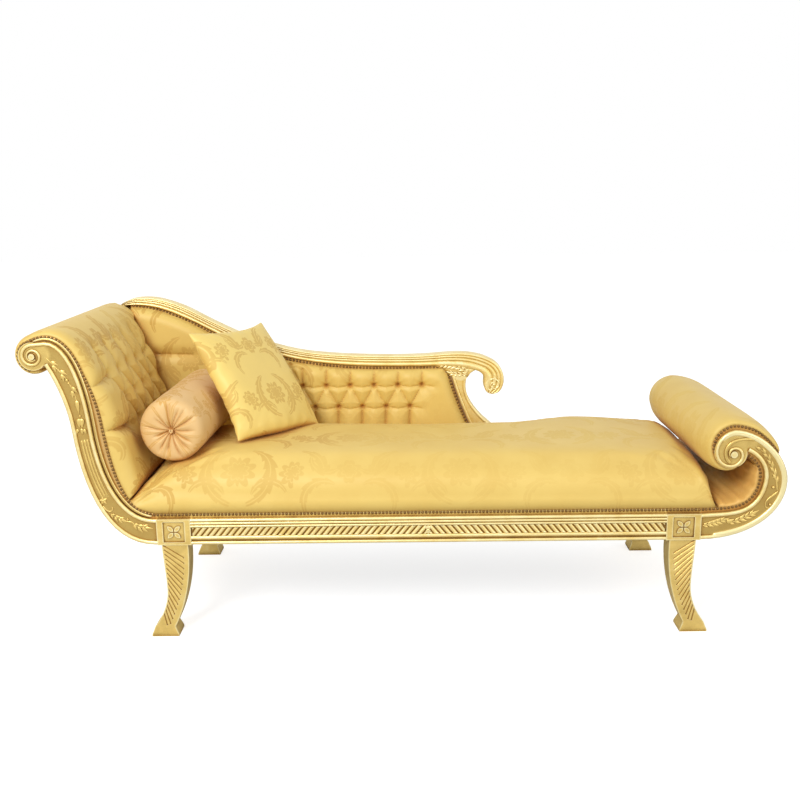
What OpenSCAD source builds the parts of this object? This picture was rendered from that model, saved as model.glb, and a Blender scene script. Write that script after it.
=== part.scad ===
// Show-wood chaise longue: scrolled head end, rolled foot end, tufted half back, loose bolster and cushion.
// X runs from the head end to the foot end, Y from the front to the back, Z up from the floor. Millimetres.

/* [Frame] */
// Depth over the front and back faces of the corner blocks
frame_depth = 650; // [600:5:760]
// Distance between the leg centres along the length
leg_spacing = 1366; // [1250:2:1600]
// Height of the legs up to the underside of the rails
leg_h = 266; // [200:2:320]
// Height of the seat rails and corner blocks
rail_h = 84; // [80:1:100]
// Width of the corner blocks
block_w = 92; // [84:1:104]
// Depth of the corner blocks
block_depth = 70; // [68:1:80]
// Thickness of the seat rails behind their moulded faces
rail_t = 45; // [38:1:52]
// Thickness of the scroll members behind their carved faces
member_t = 48; // [42:1:52]
// Depth of the carved and moulded faces in front of the nailing ledge
face_t = 12; // [10:0.5:15]
// Width of the nailing ledge above the carved faces
ledge_w = 11; // [8:0.5:13]
// Radius of the bead mouldings
bead_r = 6; // [4:0.5:6]
// Length of the tenons on rails
tenon_len = 26; // [18:1:28]
// Height of the tenons on rails
tenon_h = 46; // [36:1:52]
// Thickness of the tenons on rails
tenon_t = 14; // [10:1:16]
// Clearance round a tenon or a dowel
fit_gap = 0.2; // [0.1:0.05:0.4]

/* [Head end] */
// Distance from the corner block out to the centre of the head volute
head_reach = 290; // [260:2:320]
// Height from the rail's underside up to the centre of the head volute
head_rise = 518; // [480:2:560]
// Radius of the head volute
head_volute_r = 37; // [33:1:42]
// Width of the head scroll at its waist
scroll_w = 64; // [58:1:70]

/* [Foot end] */
// Distance from the corner block out to the outermost point of the foot scroll
foot_reach = 223; // [205:1:245]
// Height from the rail's underside up to the centre of the foot volute
foot_rise = 236; // [226:1:256]
// Radius of the foot volute at its top
foot_volute_r = 66; // [60:1:70]
// Width of the foot scroll at its outermost point
foot_scroll_w = 63; // [56:1:68]

/* [Back] */
// Distance from the centre of the head volute to the end post
back_len = 1109; // [1060:2:1180]
// Height of the level stretch of the back above the seat rails
level_rise = 314; // [290:1:340]
// Height of the crest above the level stretch
crest_lift = 199; // [190:1:215]
// Height of the top rail's section along the level stretch
crest_h = 29; // [24:1:34]
// Thickness of the back frame from front to back
back_t = 50; // [46:1:60]
// Width of the end post at its neck
post_neck = 38; // [32:1:46]
// Distance from the end post out to the centre of its hooked scroll
hook_reach = 144; // [134:1:156]
// Drop of that centre below the level stretch
hook_drop = 107; // [98:1:114]
// Radius of the ball that ends the hooked scroll
hook_ball_r = 28; // [22:1:31]
// Thickness of the back board
board_t = 8; // [6:1:10]

/* [Legs] */
// Width of a leg under its corner block
leg_w = 71; // [62:1:80]
// Thickness of a leg from front to back
leg_t = 52; // [44:1:60]
// Width of the foot pad
pad_w = 74; // [66:1:88]
// Distance that the foot pad steps outwards
leg_kick = 41; // [28:1:46]
// Height of the foot pad
pad_h = 28; // [20:1:34]
// Diameter of the dowel on top of a leg
dowel_d = 24; // [18:1:28]
// Length of that dowel
dowel_len = 40; // [30:1:50]
// Number of slanting flutes on the face of a leg
flutes = 15; // [9:1:18]

/* [Upholstery] */
// Rise of the seat's front roll above the rails, at the head end
seat_rise_head = 140; // [120:2:150]
// Rise of the seat's front roll above the rails, at the foot end
seat_rise_foot = 120; // [100:2:130]
// Thickness of the head padding at its fullest
head_pad_t = 60; // [50:1:66]
// Thickness of the padding over the head roll
roll_pad_t = 15; // [10:1:20]
// Thickness of the back padding
back_pad_t = 46; // [38:1:50]
// Thickness of the padding on the foot roll
foot_pad_t = 23; // [16:1:26]
// Distance between tufting buttons in a row of the back
tuft_pitch = 77; // [66:1:86]
// Distance between rows of tufting buttons
tuft_row = 68; // [60:1:74]
// Depth of a tuft below the padding round it
tuft_depth = 20; // [14:1:24]
// Diameter of the tufting buttons
button_d = 16; // [12:0.5:20]
// Thickness of a border where the cover is nailed down
lip = 4; // [3:0.5:6]
// Gap between a soft part and what it lies against
soft_gap = 0.3; // [0.2:0.05:0.5]

/* [Cushions] */
// Diameter of the bolster
bolster_d = 180; // [160:2:190]
// Length of the bolster
bolster_len = 400; // [340:5:420]
// Side of the square cushion, corner to corner along a seam
cushion_side = 372; // [330:4:390]
// Thickness of the square cushion in its middle
cushion_t = 112; // [90:2:130]

/* [Hidden] */
$fn = 48;
gilt = "#d8b24a";
damask = "#e8c66a";
satin = "#ecc88f";
beech = "#c9a878";
jute = "#b8a07a";
steel = "#8d8f92";

// The whole length is centred on X = 0 and the depth on Y = 0
core_r = head_volute_r + 1.5;
head_step = tuft_row / 4;
roll_r = core_r + soft_gap + roll_pad_t + head_step * head_step / (5.5 * core_r);
whole_len = roll_r + head_reach + block_w + leg_spacing + foot_reach;
head_out_x = head_reach + roll_r - whole_len / 2;
head_leg_x = head_out_x + block_w / 2;
foot_leg_x = head_leg_x + leg_spacing;
foot_out_x = foot_leg_x + block_w / 2;
head_in_x = head_out_x + block_w;
foot_in_x = foot_out_x - block_w;
front_y = -frame_depth / 2;
ledge_y = front_y + face_t;
member_y = ledge_y + member_t;
rail_in_y = ledge_y + rail_t;
block_in_y = front_y + block_depth;
rail_z = leg_h;
rail_top = leg_h + rail_h;
face_top = rail_top - ledge_w;
panel_t = 6;
cover_t = 2;
inner_y = member_y + fit_gap;

// Seat webbing lies in a rebate along the inner top edges of the rails
web_t = 1.5;
web_w = 50;
hessian_t = 1;
rebate = 2 * web_t + hessian_t + 1;
rebate_w = 20;
web_z = rail_top - rebate;

// Curves are cubic and joined end to end; a scroll leaves its block level for a short way
start = 4;
function bez(c, t) = let (s = 1 - t)
  s * s * s * c[0] + 3 * s * s * t * c[1] + 3 * s * t * t * c[2] + t * t * t * c[3];
function curve(a, b, c, d, n = 14) = [for (i = [0:n]) bez([a, b, c, d], i / n)];
function tail(p) = [for (i = [1:len(p) - 1]) p[i]];
function reversed(p) = [for (i = [len(p) - 1:-1:0]) p[i]];
function along(p, i) =
  let (d = p[min(i + 1, len(p) - 1)] - p[max(i - 1, 0)]) d / norm(d);
function left_of(p, i) = let (t = along(p, i)) [-t[1], t[0]];
function shifted(p, d) = [for (i = [0:len(p) - 1]) p[i] + d * left_of(p, i)];
function on_circle(c, r, a) = c + r * [cos(a), sin(a)];
function arc(c, r, a, b, n) = [for (i = [0:n]) on_circle(c, r, a + (b - a) * i / n)];
function mix(a, b, t) = a + (b - a) * t;
function clamp(x) = min(max(x, 0), 1);
function dome(d, r) = pow(1 - pow(1 - clamp(d / r), 2.4), 1 / 2.4);
function bell(x) = exp(-x * x);
function run(p, n) = n == 0 ? 0 : norm(p[n] - p[n - 1]) + run(p, n - 1);
function walk(p, s, i = 0) =
  let (d = norm(p[i + 1] - p[i]))
  s <= d || i == len(p) - 2 ? mix(p[i], p[i + 1], s / d) : walk(p, s - d, i + 1);
function stretch(p, s0, s1, n) = [for (i = [0:n]) walk(p, mix(s0, s1, i / n))];

// Head scroll, from the corner block up to its volute
function head_at(u, v) = [head_out_x - head_reach * u, rail_z + head_rise * v];
head_c = head_at(1, 1);
head_lean = [-0.09, 0.996];
head_mid = head_at(0.707, 0.624);
head_mid_in = head_mid + scroll_w * [0.996, 0.09];
head_outer = concat([[head_out_x, rail_z]],
  curve([head_out_x - start, rail_z], head_at(0.43, 0), head_at(0.648, 0.264), head_mid),
  tail(curve(head_mid, head_mid + 0.085 * head_rise * head_lean,
    head_at(0.783, 0.842), on_circle(head_c, head_volute_r, -38), 8)));
head_ledge = concat([[head_out_x, rail_top]],
  curve([head_out_x - start, rail_top], [head_out_x - 0.255 * head_reach, rail_top],
    head_mid_in - 0.3 * head_rise * head_lean, head_mid_in),
  tail(curve(head_mid_in, head_mid_in + 0.185 * head_rise * head_lean,
    head_at(0.621, 1.195), on_circle(head_c, core_r, 105))));
head_face = shifted(head_ledge, ledge_w);
head_ledge_run = run(head_ledge, len(head_ledge) - 1);

// Foot scroll, from the corner block round to its volute
function foot_at(u, v) = [foot_out_x + foot_reach * u, rail_z + foot_rise * v];
foot_eye = foot_at(0.341, 1);
foot_mid = foot_at(1, 0.674);
foot_mid_in = foot_mid - [foot_scroll_w, 0];
foot_crown = foot_eye + [0, foot_volute_r];
foot_decay = 0.1757;
foot_hub_r = 0.545 * foot_volute_r;
foot_cusp = 372;
function foot_r(a) = foot_volute_r * exp(-foot_decay * (a - 90) * PI / 180);
foot_rising = concat([[foot_out_x, rail_z]],
  curve([foot_out_x + start, rail_z], foot_at(0.54, 0), foot_at(1, 0.27), foot_mid));
foot_topping = curve(foot_mid, foot_at(1, 0.97), foot_crown + [0.31 * foot_reach, 0], foot_crown);
foot_curl = [for (a = [90 + 11.75:11.75:foot_cusp]) on_circle(foot_eye, max(foot_r(a), foot_hub_r), a)];
foot_outer = concat(foot_rising, tail(foot_topping), foot_curl);
foot_inner = concat([[foot_out_x, face_top]],
  curve([foot_out_x + start, face_top], foot_at(0.314, 0.335), foot_at(0.655, 0.28), foot_mid_in),
  tail(curve(foot_mid_in, foot_mid_in + [0.03, 0.18] * foot_rise,
    foot_at(0.62, 0.983), foot_curl[len(foot_curl) - 1], 8)));
foot_ledge = [for (i = [0:len(foot_inner) - 2]) foot_inner[i] + ledge_w * left_of(foot_inner, i)];
// Behind the volute a crescent of ledge takes the edge of the roll's cover
function crescent(i) = let (k = i - len(foot_rising), m = len(foot_topping) - 1)
  ledge_w * (k < 0 ? 0 : k < m ? clamp((k / m - 0.25) / 0.5) : max(cos(11.75 * (k - m)), 0) * (k < m + 8 ? 1 : 0));
foot_body = [for (i = [0:len(foot_outer) - 3]) foot_outer[i] - crescent(i) * left_of(foot_outer, i)];

// Crest rail, hooked scroll and end post
level_z = rail_top + level_rise;
function crest_at(u, v) = [head_c[0] + back_len * u, level_z + crest_lift * v];
post_x = head_c[0] + back_len;
post_foot = 122;
low_z = level_z - crest_h;
ball = [post_x + hook_reach, level_z - hook_drop];
joint_out = [post_x + 14 + post_neck, level_z - 66];
joint_in = [post_x - 1, level_z - 52];
crest_top = concat(
  curve(crest_at(0.0505, 0.915), crest_at(0.088, 1.025), crest_at(0.21, 1.08), crest_at(0.314, 0.744), 12),
  tail(curve(crest_at(0.314, 0.744), crest_at(0.4175, 0.407), crest_at(0.539, -0.045),
    crest_at(0.7935, -0.03), 12)),
  curve([post_x, level_z + 5], [post_x + 0.65 * hook_reach, level_z + 5],
    ball + [hook_ball_r - 3, hook_drop - 39], ball + [hook_ball_r, 3], 12));
crest_low = concat(
  curve(crest_at(0.0505, 0.889), crest_at(0.1064, 0.965), crest_at(0.201, 0.809), crest_at(0.282, 0.543), 12),
  tail(curve(crest_at(0.282, 0.543), crest_at(0.404, 0.131), [head_c[0] + 0.575 * back_len, low_z + 2],
    [head_c[0] + 0.7935 * back_len, low_z], 12)),
  [[post_x - 16, low_z + 1]], [joint_in]);
hook_inner = curve(joint_out, joint_out + [12, 14], [ball[0] - hook_ball_r + 5, ball[1] + 61],
  on_circle(ball, hook_ball_r, 150), 10);
post_left = curve(joint_in, joint_in + [12, -42], [post_x + 39, rail_top + 120],
  [post_x + 109, rail_top], 12);
post_right = concat(
  curve(joint_out, joint_out - [15, 38], [post_x + 55, rail_top + 150], [post_x + 126, rail_top + 92], 10),
  tail(curve([post_x + 126, rail_top + 92], [post_x + 159, rail_top + 62],
    [post_x + 194, rail_top + 20], [post_x + 109 + post_foot, rail_top], 6)));

// Back frame from front to back: moulded face, board in its rebate, stuffing rail, outer cover
back_rear = frame_depth / 2;
back_front = back_rear - back_t;
back_face_t = 12;
back_field_y = back_front + 4;
edge_bead_r = 4.6;
fine_bead_r = 2.8;
board_y = back_front + back_face_t + fit_gap;
back_rail_y = back_rear - rail_t;
outer_cover_y = back_rear - 9;
board_hold = 9;
wall_y = board_y - soft_gap - back_pad_t - 4;

// Solids that stand on an outline drawn in X and Z
module upright(y0, y1) {
  translate([0, y1, 0]) rotate([90, 0, 0]) linear_extrude(y1 - y0) children();
}
module mirrored_y() { mirror([0, 1, 0]) children(); }
module box(a, b) { translate(a) cube(b - a); }
module rod(c, r, y0, y1) { translate([c[0], y0, c[1]]) rotate([-90, 0, 0]) cylinder(r = r, h = y1 - y0); }

// A half-round bead along a path on a field that faces the front
module bead(path, r0, r1, base_y = front_y + bead_r) {
  sides = 5;
  ring = sides + 1;
  n = len(path);
  function point(i, a, r) = let (q = path[i] + r * cos(a) * left_of(path, i)) [q[0], base_y - r * sin(a) + 0.6, q[1]];
  points = [for (i = [0:n - 1]) for (j = [0:sides]) point(i, 180 * j / sides, mix(r0, r1, i / (n - 1)))];
  faces = concat(
    [for (i = [0:n - 2]) for (j = [0:sides]) let (k = (j + 1) % ring)
      each [[i * ring + j, (i + 1) * ring + k, i * ring + k],
            [i * ring + j, (i + 1) * ring + j, (i + 1) * ring + k]]],
    [[for (j = [0:sides]) j]],
    [[for (j = [sides:-1:0]) (n - 1) * ring + j]]);
  polyhedron(points, faces);
}

module head_outline() { polygon(concat(head_outer, reversed(head_ledge))); }
module head_member(y0, y1) {
  upright(y0, y1) head_outline();
  rod(head_c, core_r, y0, y1);
}
module rail_tenon(x, dir, y) {
  x0 = dir > 0 ? x - root : x - tenon_len;
  box([x0, y - tenon_t / 2, rail_z + 18], [x0 + tenon_len + root, y + tenon_t / 2, rail_z + 18 + tenon_h]);
}
scroll_tenon_y = front_y + 30;
// A tenon, a foot pad or a ball starts this far inside the piece that it grows from
root = 2;

module head_scroll_front() color(gilt) {
  head_member(ledge_y, member_y);
  upright(front_y + bead_r, ledge_y) {
    polygon(concat(head_outer, reversed(head_face)));
    translate(head_c) circle(head_volute_r);
  }
  rail_tenon(head_out_x, 1, scroll_tenon_y);
  clear_of_disc = [for (p = head_face) if (norm(p - head_c) > head_volute_r + 6) p];
  volute = [for (a = [78:15:78 + 600])
    on_circle(head_c, (head_volute_r - bead_r) * exp(-0.0018 * (a - 78)), a)];
  bead(concat(shifted(clear_of_disc, bead_r), volute), bead_r, 3.5);
  bead(shifted(head_outer, -bead_r), bead_r, bead_r);
  rod(head_c, 8, front_y, ledge_y);
}
module head_scroll_back() color(gilt) mirrored_y() {
  head_member(front_y, member_y);
  rail_tenon(head_out_x, 1, scroll_tenon_y);
}

module foot_outline() { polygon(concat(foot_body, reversed(foot_ledge))); }
module foot_scroll_front() color(gilt) {
  upright(ledge_y, member_y) foot_outline();
  upright(front_y + bead_r, ledge_y) polygon(concat(foot_outer, tail(reversed(foot_inner))));
  rail_tenon(foot_out_x, -1, scroll_tenon_y);
  volute = [for (a = [90:15:90 + 480]) on_circle(foot_eye, foot_r(a) - bead_r, a)];
  bead(concat(shifted(concat(foot_rising, tail(foot_topping)), bead_r), tail(volute)), bead_r, 4);
  bead(shifted(foot_inner, -bead_r), bead_r, bead_r);
  rod(foot_eye, 9, front_y, ledge_y);
}
module foot_scroll_back() color(gilt) mirrored_y() {
  upright(front_y, member_y) foot_outline();
  rail_tenon(foot_out_x, -1, scroll_tenon_y);
}

// Corner block with mortises for its rails, a bore for the leg's dowel and a sunk flower panel
leg_front = front_y + 3;
leg_y = leg_front + leg_t / 2;
module mortise(a, b) { box(a - [fit_gap, fit_gap, fit_gap], b + [fit_gap, fit_gap, fit_gap]); }
module petal(turn) {
  rotate(turn) polygon(concat(curve([2, 0], [9, 9], [18, 7], [24, 0], 6),
    tail(curve([24, 0], [18, -7], [9, -9], [2, 0], 6))));
}
module front_block(x0, cross_x) {
  zc = (rail_z + face_top) / 2;
  half = (face_top - rail_z) / 2;
  difference() {
    union() {
      box([x0, ledge_y, rail_z], [x0 + block_w, block_in_y, rail_top]);
      box([x0, front_y, rail_z], [x0 + block_w, ledge_y, face_top]);
    }
    box([x0 + block_w / 2 - half + 8, front_y - 1, zc - half + 8],
      [x0 + block_w / 2 + half - 8, front_y + 4, zc + half - 8]);
    mortise([x0 - 1, scroll_tenon_y - tenon_t / 2, rail_z + 18],
      [x0 + tenon_len, scroll_tenon_y + tenon_t / 2, rail_z + 18 + tenon_h]);
    mortise([x0 + block_w - tenon_len, scroll_tenon_y - tenon_t / 2, rail_z + 18],
      [x0 + block_w + 1, scroll_tenon_y + tenon_t / 2, rail_z + 18 + tenon_h]);
    mortise([cross_x - tenon_t / 2, block_in_y - tenon_len, rail_z + 18],
      [cross_x + tenon_t / 2, block_in_y + 1, rail_z + 18 + tenon_h]);
    translate([x0 + block_w / 2, leg_y, rail_z - 1]) cylinder(d = dowel_d + 2 * fit_gap, h = dowel_len + 2);
    brace_screw(x0 < 0 ? 1 : -1, fit_gap);
  }
  upright(front_y + 1, front_y + 5) translate([x0 + block_w / 2, zc])
    for (turn = [45:90:315]) petal(turn);
}
module back_block(x0, cross_x) {
  difference() {
    box([x0, front_y, rail_z], [x0 + block_w, block_in_y, rail_top]);
    mortise([x0 - 1, scroll_tenon_y - tenon_t / 2, rail_z + 18],
      [x0 + tenon_len, scroll_tenon_y + tenon_t / 2, rail_z + 18 + tenon_h]);
    mortise([x0 + block_w - tenon_len, scroll_tenon_y - tenon_t / 2, rail_z + 18],
      [x0 + block_w + 1, scroll_tenon_y + tenon_t / 2, rail_z + 18 + tenon_h]);
    mortise([cross_x - tenon_t / 2, block_in_y - tenon_len, rail_z + 18],
      [cross_x + tenon_t / 2, block_in_y + 1, rail_z + 18 + tenon_h]);
    translate([x0 + block_w / 2, leg_y, rail_z - 1]) cylinder(d = dowel_d + 2 * fit_gap, h = dowel_len + 2);
    brace_screw(x0 < 0 ? 1 : -1, fit_gap);
  }
}
head_cross_x = head_out_x + rail_t / 2;
foot_cross_x = foot_out_x - rail_t / 2;
module block_front_head() color(gilt) front_block(head_out_x, head_cross_x);
module block_front_foot() color(gilt) front_block(foot_in_x, foot_cross_x);
module block_back_head() color(gilt) mirrored_y() back_block(head_out_x, head_cross_x);
module block_back_foot() color(gilt) mirrored_y() back_block(foot_in_x, foot_cross_x);

// Sabre leg drawn for the head end, kicking outwards to a flared foot pad
pad_top = 0.76 * pad_w;
leg_outer = concat(
  curve([-leg_w / 2, leg_h], [-leg_w / 2 + 1, 0.85 * leg_h], [-0.4 * leg_w, 0.68 * leg_h],
    [-0.4 * leg_w, 0.51 * leg_h], 8),
  tail(curve([-0.4 * leg_w, 0.51 * leg_h], [-0.4 * leg_w, 0.36 * leg_h],
    [-leg_kick - 0.1 * pad_top, 2 * pad_h], [-leg_kick - pad_top / 2, pad_h], 8)));
leg_inner = curve([leg_w / 2, leg_h], [0.56 * leg_w, 0.71 * leg_h], [0.36 * leg_w, 0.38 * leg_h],
  [-leg_kick + pad_top / 2, pad_h], 14);
leg_border = 13;
flute_w = 3.6;
module leg_shape() {
  difference() {
    upright(leg_front, leg_front + leg_t) polygon(concat(leg_outer,
      [[-leg_kick - pad_top / 2 + root, pad_h - root], [-leg_kick + pad_top / 2 - root, pad_h - root]],
      reversed(leg_inner)));
    flute_cuts();
  }
  intersection() {
    upright(front_y - 5, leg_front + leg_t + 20) polygon([
      [-leg_kick - pad_w / 2, 0], [-leg_kick + pad_w / 2, 0], [-leg_kick + pad_w / 2, 6],
      [-leg_kick + pad_top / 2, pad_h], [-leg_kick - pad_top / 2, pad_h], [-leg_kick - pad_w / 2, 6]]);
    translate([-leg_kick - pad_w, 0, 0]) rotate([90, 0, 90]) linear_extrude(2 * pad_w) polygon([
      [front_y, 0], [leg_front + leg_t + 6, 0], [leg_front + leg_t + 6, 6],
      [leg_front + leg_t, pad_h], [leg_front, pad_h], [front_y, 6]]);
  }
  translate([0, leg_y, leg_h - root]) cylinder(d = dowel_d, h = dowel_len + root);
}
// Slanting flutes that steepen towards the foot, inside a plain border
module flute_cuts() {
  intersection() {
    upright(leg_front - 1, leg_front + 6)
      polygon(concat(shifted(leg_outer, 3), reversed(shifted(leg_inner, -leg_border))));
    union() for (i = [0:flutes - 1]) {
      t = (i + 0.6) / flutes;
      z = mix(leg_h - 12, pad_h + 12, t);
      x = mix(-4, -leg_kick, pow(t, 2.5));
      translate([x, leg_front, z]) rotate([0, mix(32, 80, t), 0]) rotate([45, 0, 0])
        cube([mix(leg_w, 0.7 * leg_w, t), flute_w, flute_w], center = true);
    }
  }
}
module leg_front_head() color(gilt) translate([head_leg_x, 0, 0]) leg_shape();
module leg_front_foot() color(gilt) translate([foot_leg_x, 0, 0]) mirror([1, 0, 0]) leg_shape();
module leg_back_head() color(gilt) mirrored_y() leg_front_head();
module leg_back_foot() color(gilt) mirrored_y() leg_front_foot();

// Moulded front rail: beads above and below a band of slanting lobes that turn at the middle
rope_lo = rail_z + 25;
rope_hi = face_top - 25;
rope_pitch = 17;
rope_lean = 50;
rope_y = front_y + 8;
function half_round(z, r, n = 8) =
  [for (i = [0:n]) [front_y + r - r * sin(180 * i / n), z - r * cos(180 * i / n)]];
rail_section = concat(
  [[ledge_y, rail_z]], half_round(rail_z + 5, 5), [[rope_y - 1, rail_z + 10], [rope_y - 1, rail_z + 14]],
  half_round(rail_z + 19.5, 5.5), [[rope_y, rope_lo], [rope_y, rope_hi]],
  half_round(face_top - 21, 3.5, 6), half_round(face_top - 12.8, 4), half_round(face_top - 4.3, 4.3),
  [[ledge_y, face_top], [ledge_y, rail_top], [rail_in_y - rebate_w, rail_top],
   [rail_in_y - rebate_w, web_z], [rail_in_y, web_z], [rail_in_y, rail_z]]);
module rope_half(x0, x1) {
  step = rope_pitch * sin(rope_lean);
  count = ceil(((x1 - x0) * sin(rope_lean) + (rope_hi - rope_lo)) / step) + 2;
  span = (x1 - x0) * cos(rope_lean) + 2 * (rope_hi - rope_lo);
  intersection() {
    box([x0, front_y, rope_lo], [x1, rope_y + 1, rope_hi]);
    translate([(x0 + x1) / 2, rope_y, (rope_lo + rope_hi) / 2])
      rotate([0, 90 - rope_lean, 0]) rotate([0, 0, 180])
      linear_extrude(span, center = true) polygon(concat(
        [[count * step / 2, -1], [-count * step / 2, -1]],
        [for (k = [0:count - 1]) for (a = [0:45:180])
          [step * (k + 0.5 - count / 2 - 0.46 * cos(a)), 0.5 + 6 * sin(a)]]));
  }
}
module front_rail() color(gilt) {
  middle = (head_in_x + foot_in_x) / 2;
  translate([head_in_x, 0, 0]) rotate([90, 0, 90]) linear_extrude(foot_in_x - head_in_x) polygon(rail_section);
  rope_half(head_in_x + 4, middle - 6);
  translate([2 * middle, 0, 0]) mirror([1, 0, 0]) rope_half(head_in_x + 4, middle - 6);
  rail_tenon(head_in_x, -1, scroll_tenon_y);
  rail_tenon(foot_in_x, 1, scroll_tenon_y);
}
module back_rail() color(gilt) mirrored_y() {
  difference() {
    box([head_in_x, front_y, rail_z], [foot_in_x, rail_in_y, rail_top]);
    box([head_in_x - 1, rail_in_y - rebate_w, web_z], [foot_in_x + 1, rail_in_y + 1, rail_top + 1]);
  }
  rail_tenon(head_in_x, -1, scroll_tenon_y);
  rail_tenon(foot_in_x, 1, scroll_tenon_y);
}
module cross_rail(x_out, dir) {
  x_in = x_out + dir * rail_t;
  cross_x = x_out + dir * rail_t / 2;
  difference() {
    box([min(x_out, x_in), block_in_y, rail_z], [max(x_out, x_in), -block_in_y, rail_top]);
    box([min(x_in - dir * rebate_w, x_in + dir), block_in_y - 1, web_z],
      [max(x_in - dir * rebate_w, x_in + dir), -block_in_y + 1, rail_top + 1]);
  }
  box([cross_x - tenon_t / 2, block_in_y - tenon_len, rail_z + 18],
    [cross_x + tenon_t / 2, -block_in_y + tenon_len, rail_z + 18 + tenon_h]);
}
module head_cross_rail() color(beech) cross_rail(head_out_x, 1);
module foot_cross_rail() color(beech) cross_rail(foot_out_x, -1);
brace_w = 40;
module seat_brace(k) color(beech) {
  x = mix(head_in_x, foot_in_x, k / 4);
  box([x - brace_w / 2, rail_in_y, rail_z + 8], [x + brace_w / 2, -rail_in_y, web_z - 24]);
}
module seat_brace_1() seat_brace(1);
module seat_brace_2() seat_brace(2);
module seat_brace_3() seat_brace(3);

// Corner braces fill the angle between a block, a rail and a cross rail, each held by one screw
brace_reach = 46;
screw_d = 6;
screw_bite = 15;
brace_lo = rail_z + 14;
brace_hi = rail_z + 50;
function brace_in(dir) = dir > 0 ? head_in_x : foot_in_x;
function brace_cross(dir) = dir > 0 ? head_out_x + rail_t : foot_out_x - rail_t;
function brace_span(dir) = abs(brace_in(dir) + dir * brace_reach - brace_cross(dir));
module corner_brace(dir) {
  x_in = brace_in(dir);
  x_cross = brace_cross(dir);
  difference() {
    translate([0, 0, brace_lo]) linear_extrude(brace_hi - brace_lo) polygon([
      [x_cross, block_in_y], [x_in, block_in_y], [x_in, rail_in_y],
      [x_in + dir * brace_reach, rail_in_y], [x_cross, rail_in_y + brace_span(dir)]]);
    brace_screw(dir, fit_gap);
  }
}
module brace_screw(dir, gap) {
  half = brace_span(dir) / 2;
  depth = (half - (block_in_y - rail_in_y)) * sqrt(2) + screw_bite;
  translate([brace_cross(dir) + dir * half, rail_in_y + half, (brace_lo + brace_hi) / 2])
    rotate([0, 0, dir > 0 ? 225 : 315]) rotate([0, 90, 0]) {
      cylinder(d = screw_d + 2 * gap, h = depth + gap);
      translate([0, 0, -3]) cylinder(d = 2 * screw_d, h = 3);
    }
}
module corner_brace_front_head() color(beech) corner_brace(1);
module corner_brace_front_foot() color(beech) corner_brace(-1);
module corner_brace_back_head() color(beech) mirrored_y() corner_brace(1);
module corner_brace_back_foot() color(beech) mirrored_y() corner_brace(-1);
module brace_screws() color(steel) {
  for (dir = [1, -1]) {
    brace_screw(dir, 0);
    mirrored_y() brace_screw(dir, 0);
  }
}

// Inner woodwork of the head end
head_cover_in = 3;
module head_roll_core() color(beech) rod(head_c, core_r, inner_y, -inner_y);
module head_panel() color(beech) difference() {
  upright(inner_y, -inner_y) polygon(concat(head_ledge, reversed(shifted(head_ledge, panel_t))));
  rod(head_c, core_r + fit_gap, inner_y - 1, -inner_y + 1);
}
module head_waist_rail() color(beech) {
  side = [0.996, 0.09];
  a = head_mid + (head_cover_in + cover_t + 0.6) * side;
  b = head_mid_in - (panel_t + 0.6) * side;
  upright(inner_y, -inner_y) polygon([a - 24 * head_lean, b - 24 * head_lean, b + 24 * head_lean, a + 24 * head_lean]);
}
module head_outer_cover() color(damask) difference() {
  upright(inner_y, -inner_y) polygon(concat(shifted(head_outer, -head_cover_in),
    reversed(shifted(head_outer, -head_cover_in - cover_t))));
  rod(head_c, core_r + fit_gap, inner_y - 1, -inner_y + 1);
}

// Inner woodwork of the foot end
drum_from = len(foot_rising) + 5;
foot_drum = [for (i = [drum_from:len(foot_body) - 1]) foot_body[i]];
module foot_roll_core() color(beech) upright(inner_y, -inner_y) polygon(foot_drum);
module foot_panel() color(beech) difference() {
  upright(inner_y, -inner_y) polygon(concat(tail(foot_ledge), reversed(tail(shifted(foot_ledge, -panel_t)))));
  upright(inner_y - 1, -inner_y + 1) polygon(foot_drum);
}
foot_cover_in = 3;
foot_back = [for (i = [0:drum_from]) foot_outer[i]];
module foot_waist_rail() color(beech) {
  x0 = foot_mid_in[0] - ledge_w + panel_t + 2;
  x1 = foot_mid[0] - foot_cover_in - cover_t - 3.5;
  box([x0, inner_y, foot_mid[1] - 24], [x1, -inner_y, foot_mid[1] + 18]);
}
module foot_outer_cover() color(damask) difference() {
  upright(inner_y, -inner_y) polygon(concat(shifted(foot_back, foot_cover_in),
    reversed(shifted(foot_back, foot_cover_in + cover_t))));
  upright(inner_y - 1, -inner_y + 1) polygon(foot_drum);
}

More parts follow.
